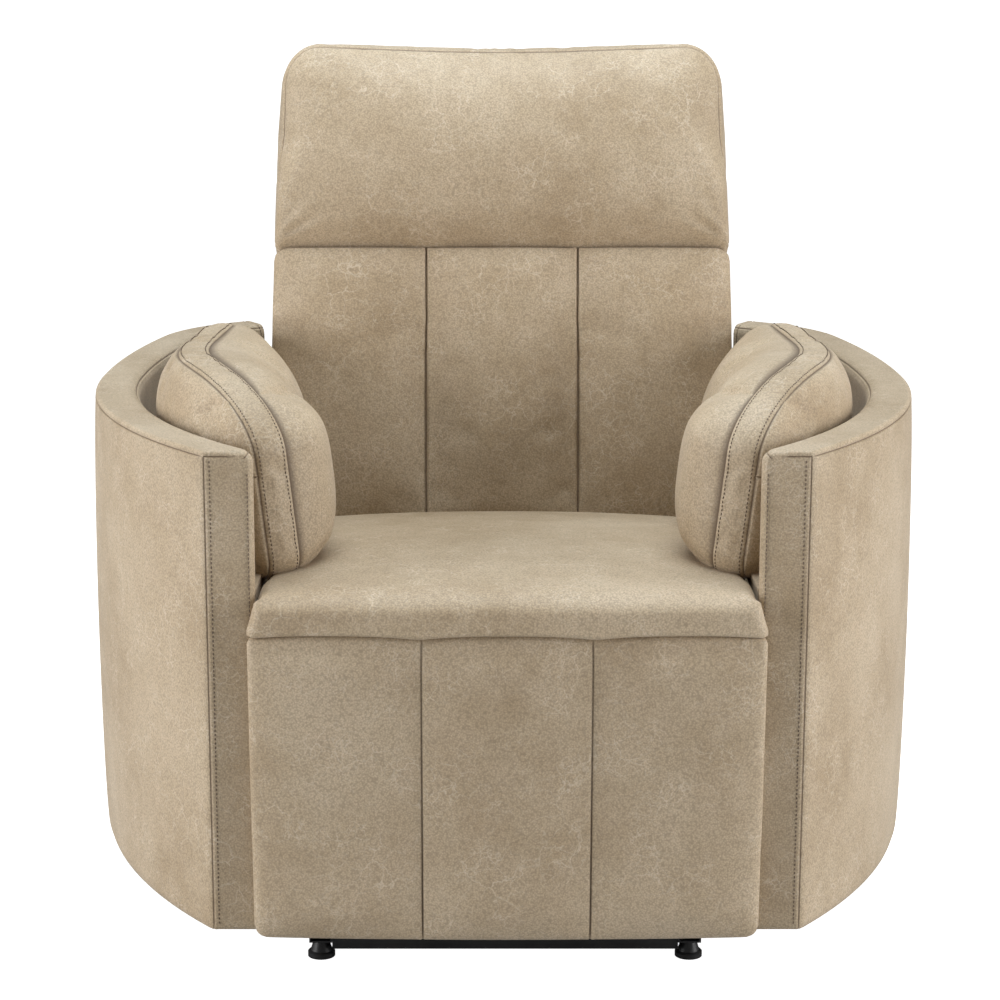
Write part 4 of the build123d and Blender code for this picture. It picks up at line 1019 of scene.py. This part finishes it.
def weave(name, warp_colour, weft_colour, pitch, across, along):
    """Plain weave: two waves at right angles, one over the other in turn."""
    material = bpy.data.materials.new(name)
    material.use_nodes = True
    tree = material.node_tree
    shader = tree.nodes["Principled BSDF"]
    place = stretched_place(tree, (1.0, 1.0, 1.0))
    parts = tree.nodes.new("ShaderNodeSeparateXYZ")
    link(tree, place, parts.inputs["Vector"])
    ups = [calc(tree, "SINE", calc(tree, "MULTIPLY", parts.outputs[k], 2 * pi / pitch)) for k in (across, along)]
    over = calc(tree, "MULTIPLY", ups[0], ups[1])
    height = calc(tree, "ABSOLUTE", over)
    fuzz = add(tree, "ShaderNodeTexNoise", scale=900.0, detail=3.0)
    link(tree, place, fuzz.inputs["Vector"])
    colour = mix(tree, ramp(tree, calc(tree, "ADD", calc(tree, "MULTIPLY", over, 0.5), 0.5),
                            [(0.45, grey(0.0)), (0.55, grey(1.0))]),
                 warp_colour, weft_colour)
    colour = mix(tree, 1.0, colour, ramp(tree, fuzz.outputs["Fac"], [(0.3, grey(0.75)), (0.7, grey(1.1))]),
                 "MULTIPLY")
    bump = add(tree, "ShaderNodeBump", strength=0.5, distance=0.0005)
    link(tree, colour, shader.inputs["Base Color"])
    link(tree, height, bump.inputs["Height"])
    link(tree, bump.outputs["Normal"], shader.inputs["Normal"])
    shader.inputs["Roughness"].default_value = 0.85
    return material


black_steel = hard_surface("black_powder_coat", (0.012, 0.012, 0.013), 0.30, 0.0, 1100.0, 0.06, 0.25)
zinc = hard_surface("zinc_plate", (0.56, 0.55, 0.52), 0.22, 1.0, 700.0, 0.25, 0.10)
spring_wire = hard_surface("oiled_spring_wire", (0.10, 0.095, 0.09), 0.28, 0.9, 900.0, 0.20, 0.15)
foot_plastic = hard_surface("moulded_black_plastic", (0.015, 0.015, 0.016), 0.32, 0.0, 1600.0, 0.03, 0.20)
pine_along_y = timber("pine_along_y", 1, (0.56, 0.40, 0.24), (0.40, 0.26, 0.14))
pine_along_x = timber("pine_along_x", 0, (0.56, 0.40, 0.24), (0.40, 0.26, 0.14))
pine_upright = timber("pine_upright", 2, (0.56, 0.40, 0.24), (0.40, 0.26, 0.14))
plywood = timber("birch_plywood", 2, (0.60, 0.46, 0.30), (0.48, 0.35, 0.21))
jute = weave("jute_webbing", (0.36, 0.27, 0.16), (0.45, 0.35, 0.22), 0.0030, 0, 2)
finishes = {
    "steel": (black_steel, ["base_rail_left", "base_rail_right", "base_crossbar_front", "base_crossbar_rear",
                            "glide_tower_left", "glide_tower_right", "glide_link_front_left",
                            "glide_link_front_right", "glide_link_rear_left", "glide_link_rear_right",
                            "chassis_plate_left", "chassis_plate_right", "chassis_beam_front",
                            "chassis_beam_rear",
                            "tub_beam_front", "tub_beam_rear", "back_pivot_brackets", "footrest_brackets",
                            "back_pivot_arms", "headrest_straps", "headrest_hinge_ears",
                            "footrest_hinge_ears"]),
    "zinc": (zinc, ["base_bolts", "upper_glide_pins", "lower_glide_pins", "back_pivot_pins",
                    "headrest_hinge_pins", "footrest_hinge_pins"]),
    "springs": (spring_wire, ["seat_springs"]),
    "feet": (foot_plastic, ["levelling_feet"]),
    "side rails": (pine_along_y, ["seat_rail_left", "seat_rail_right"]),
    "cross rails": (pine_along_x,
                    ["seat_cross_rail_front", "seat_cross_rail_rear", "back_rail_top", "back_rail_bottom"]),
    "stiles": (pine_upright, ["back_stile_left", "back_stile_right"]),
    "boards": (plywood,
               ["arm_core_left", "arm_core_right", "rear_panel_board", "headrest_board", "footrest_board"]),
    "decks": (leather("deck_leather", (3.3, 6.6, 1.4)), ["arm_deck_left", "arm_deck_right"]),
    "straps": (jute, ["back_webbing"]),
}
for material, names in finishes.values():
    for name in names:
        for material_slot in frame["nodes"][name].material_slots:
            material_slot.material = material
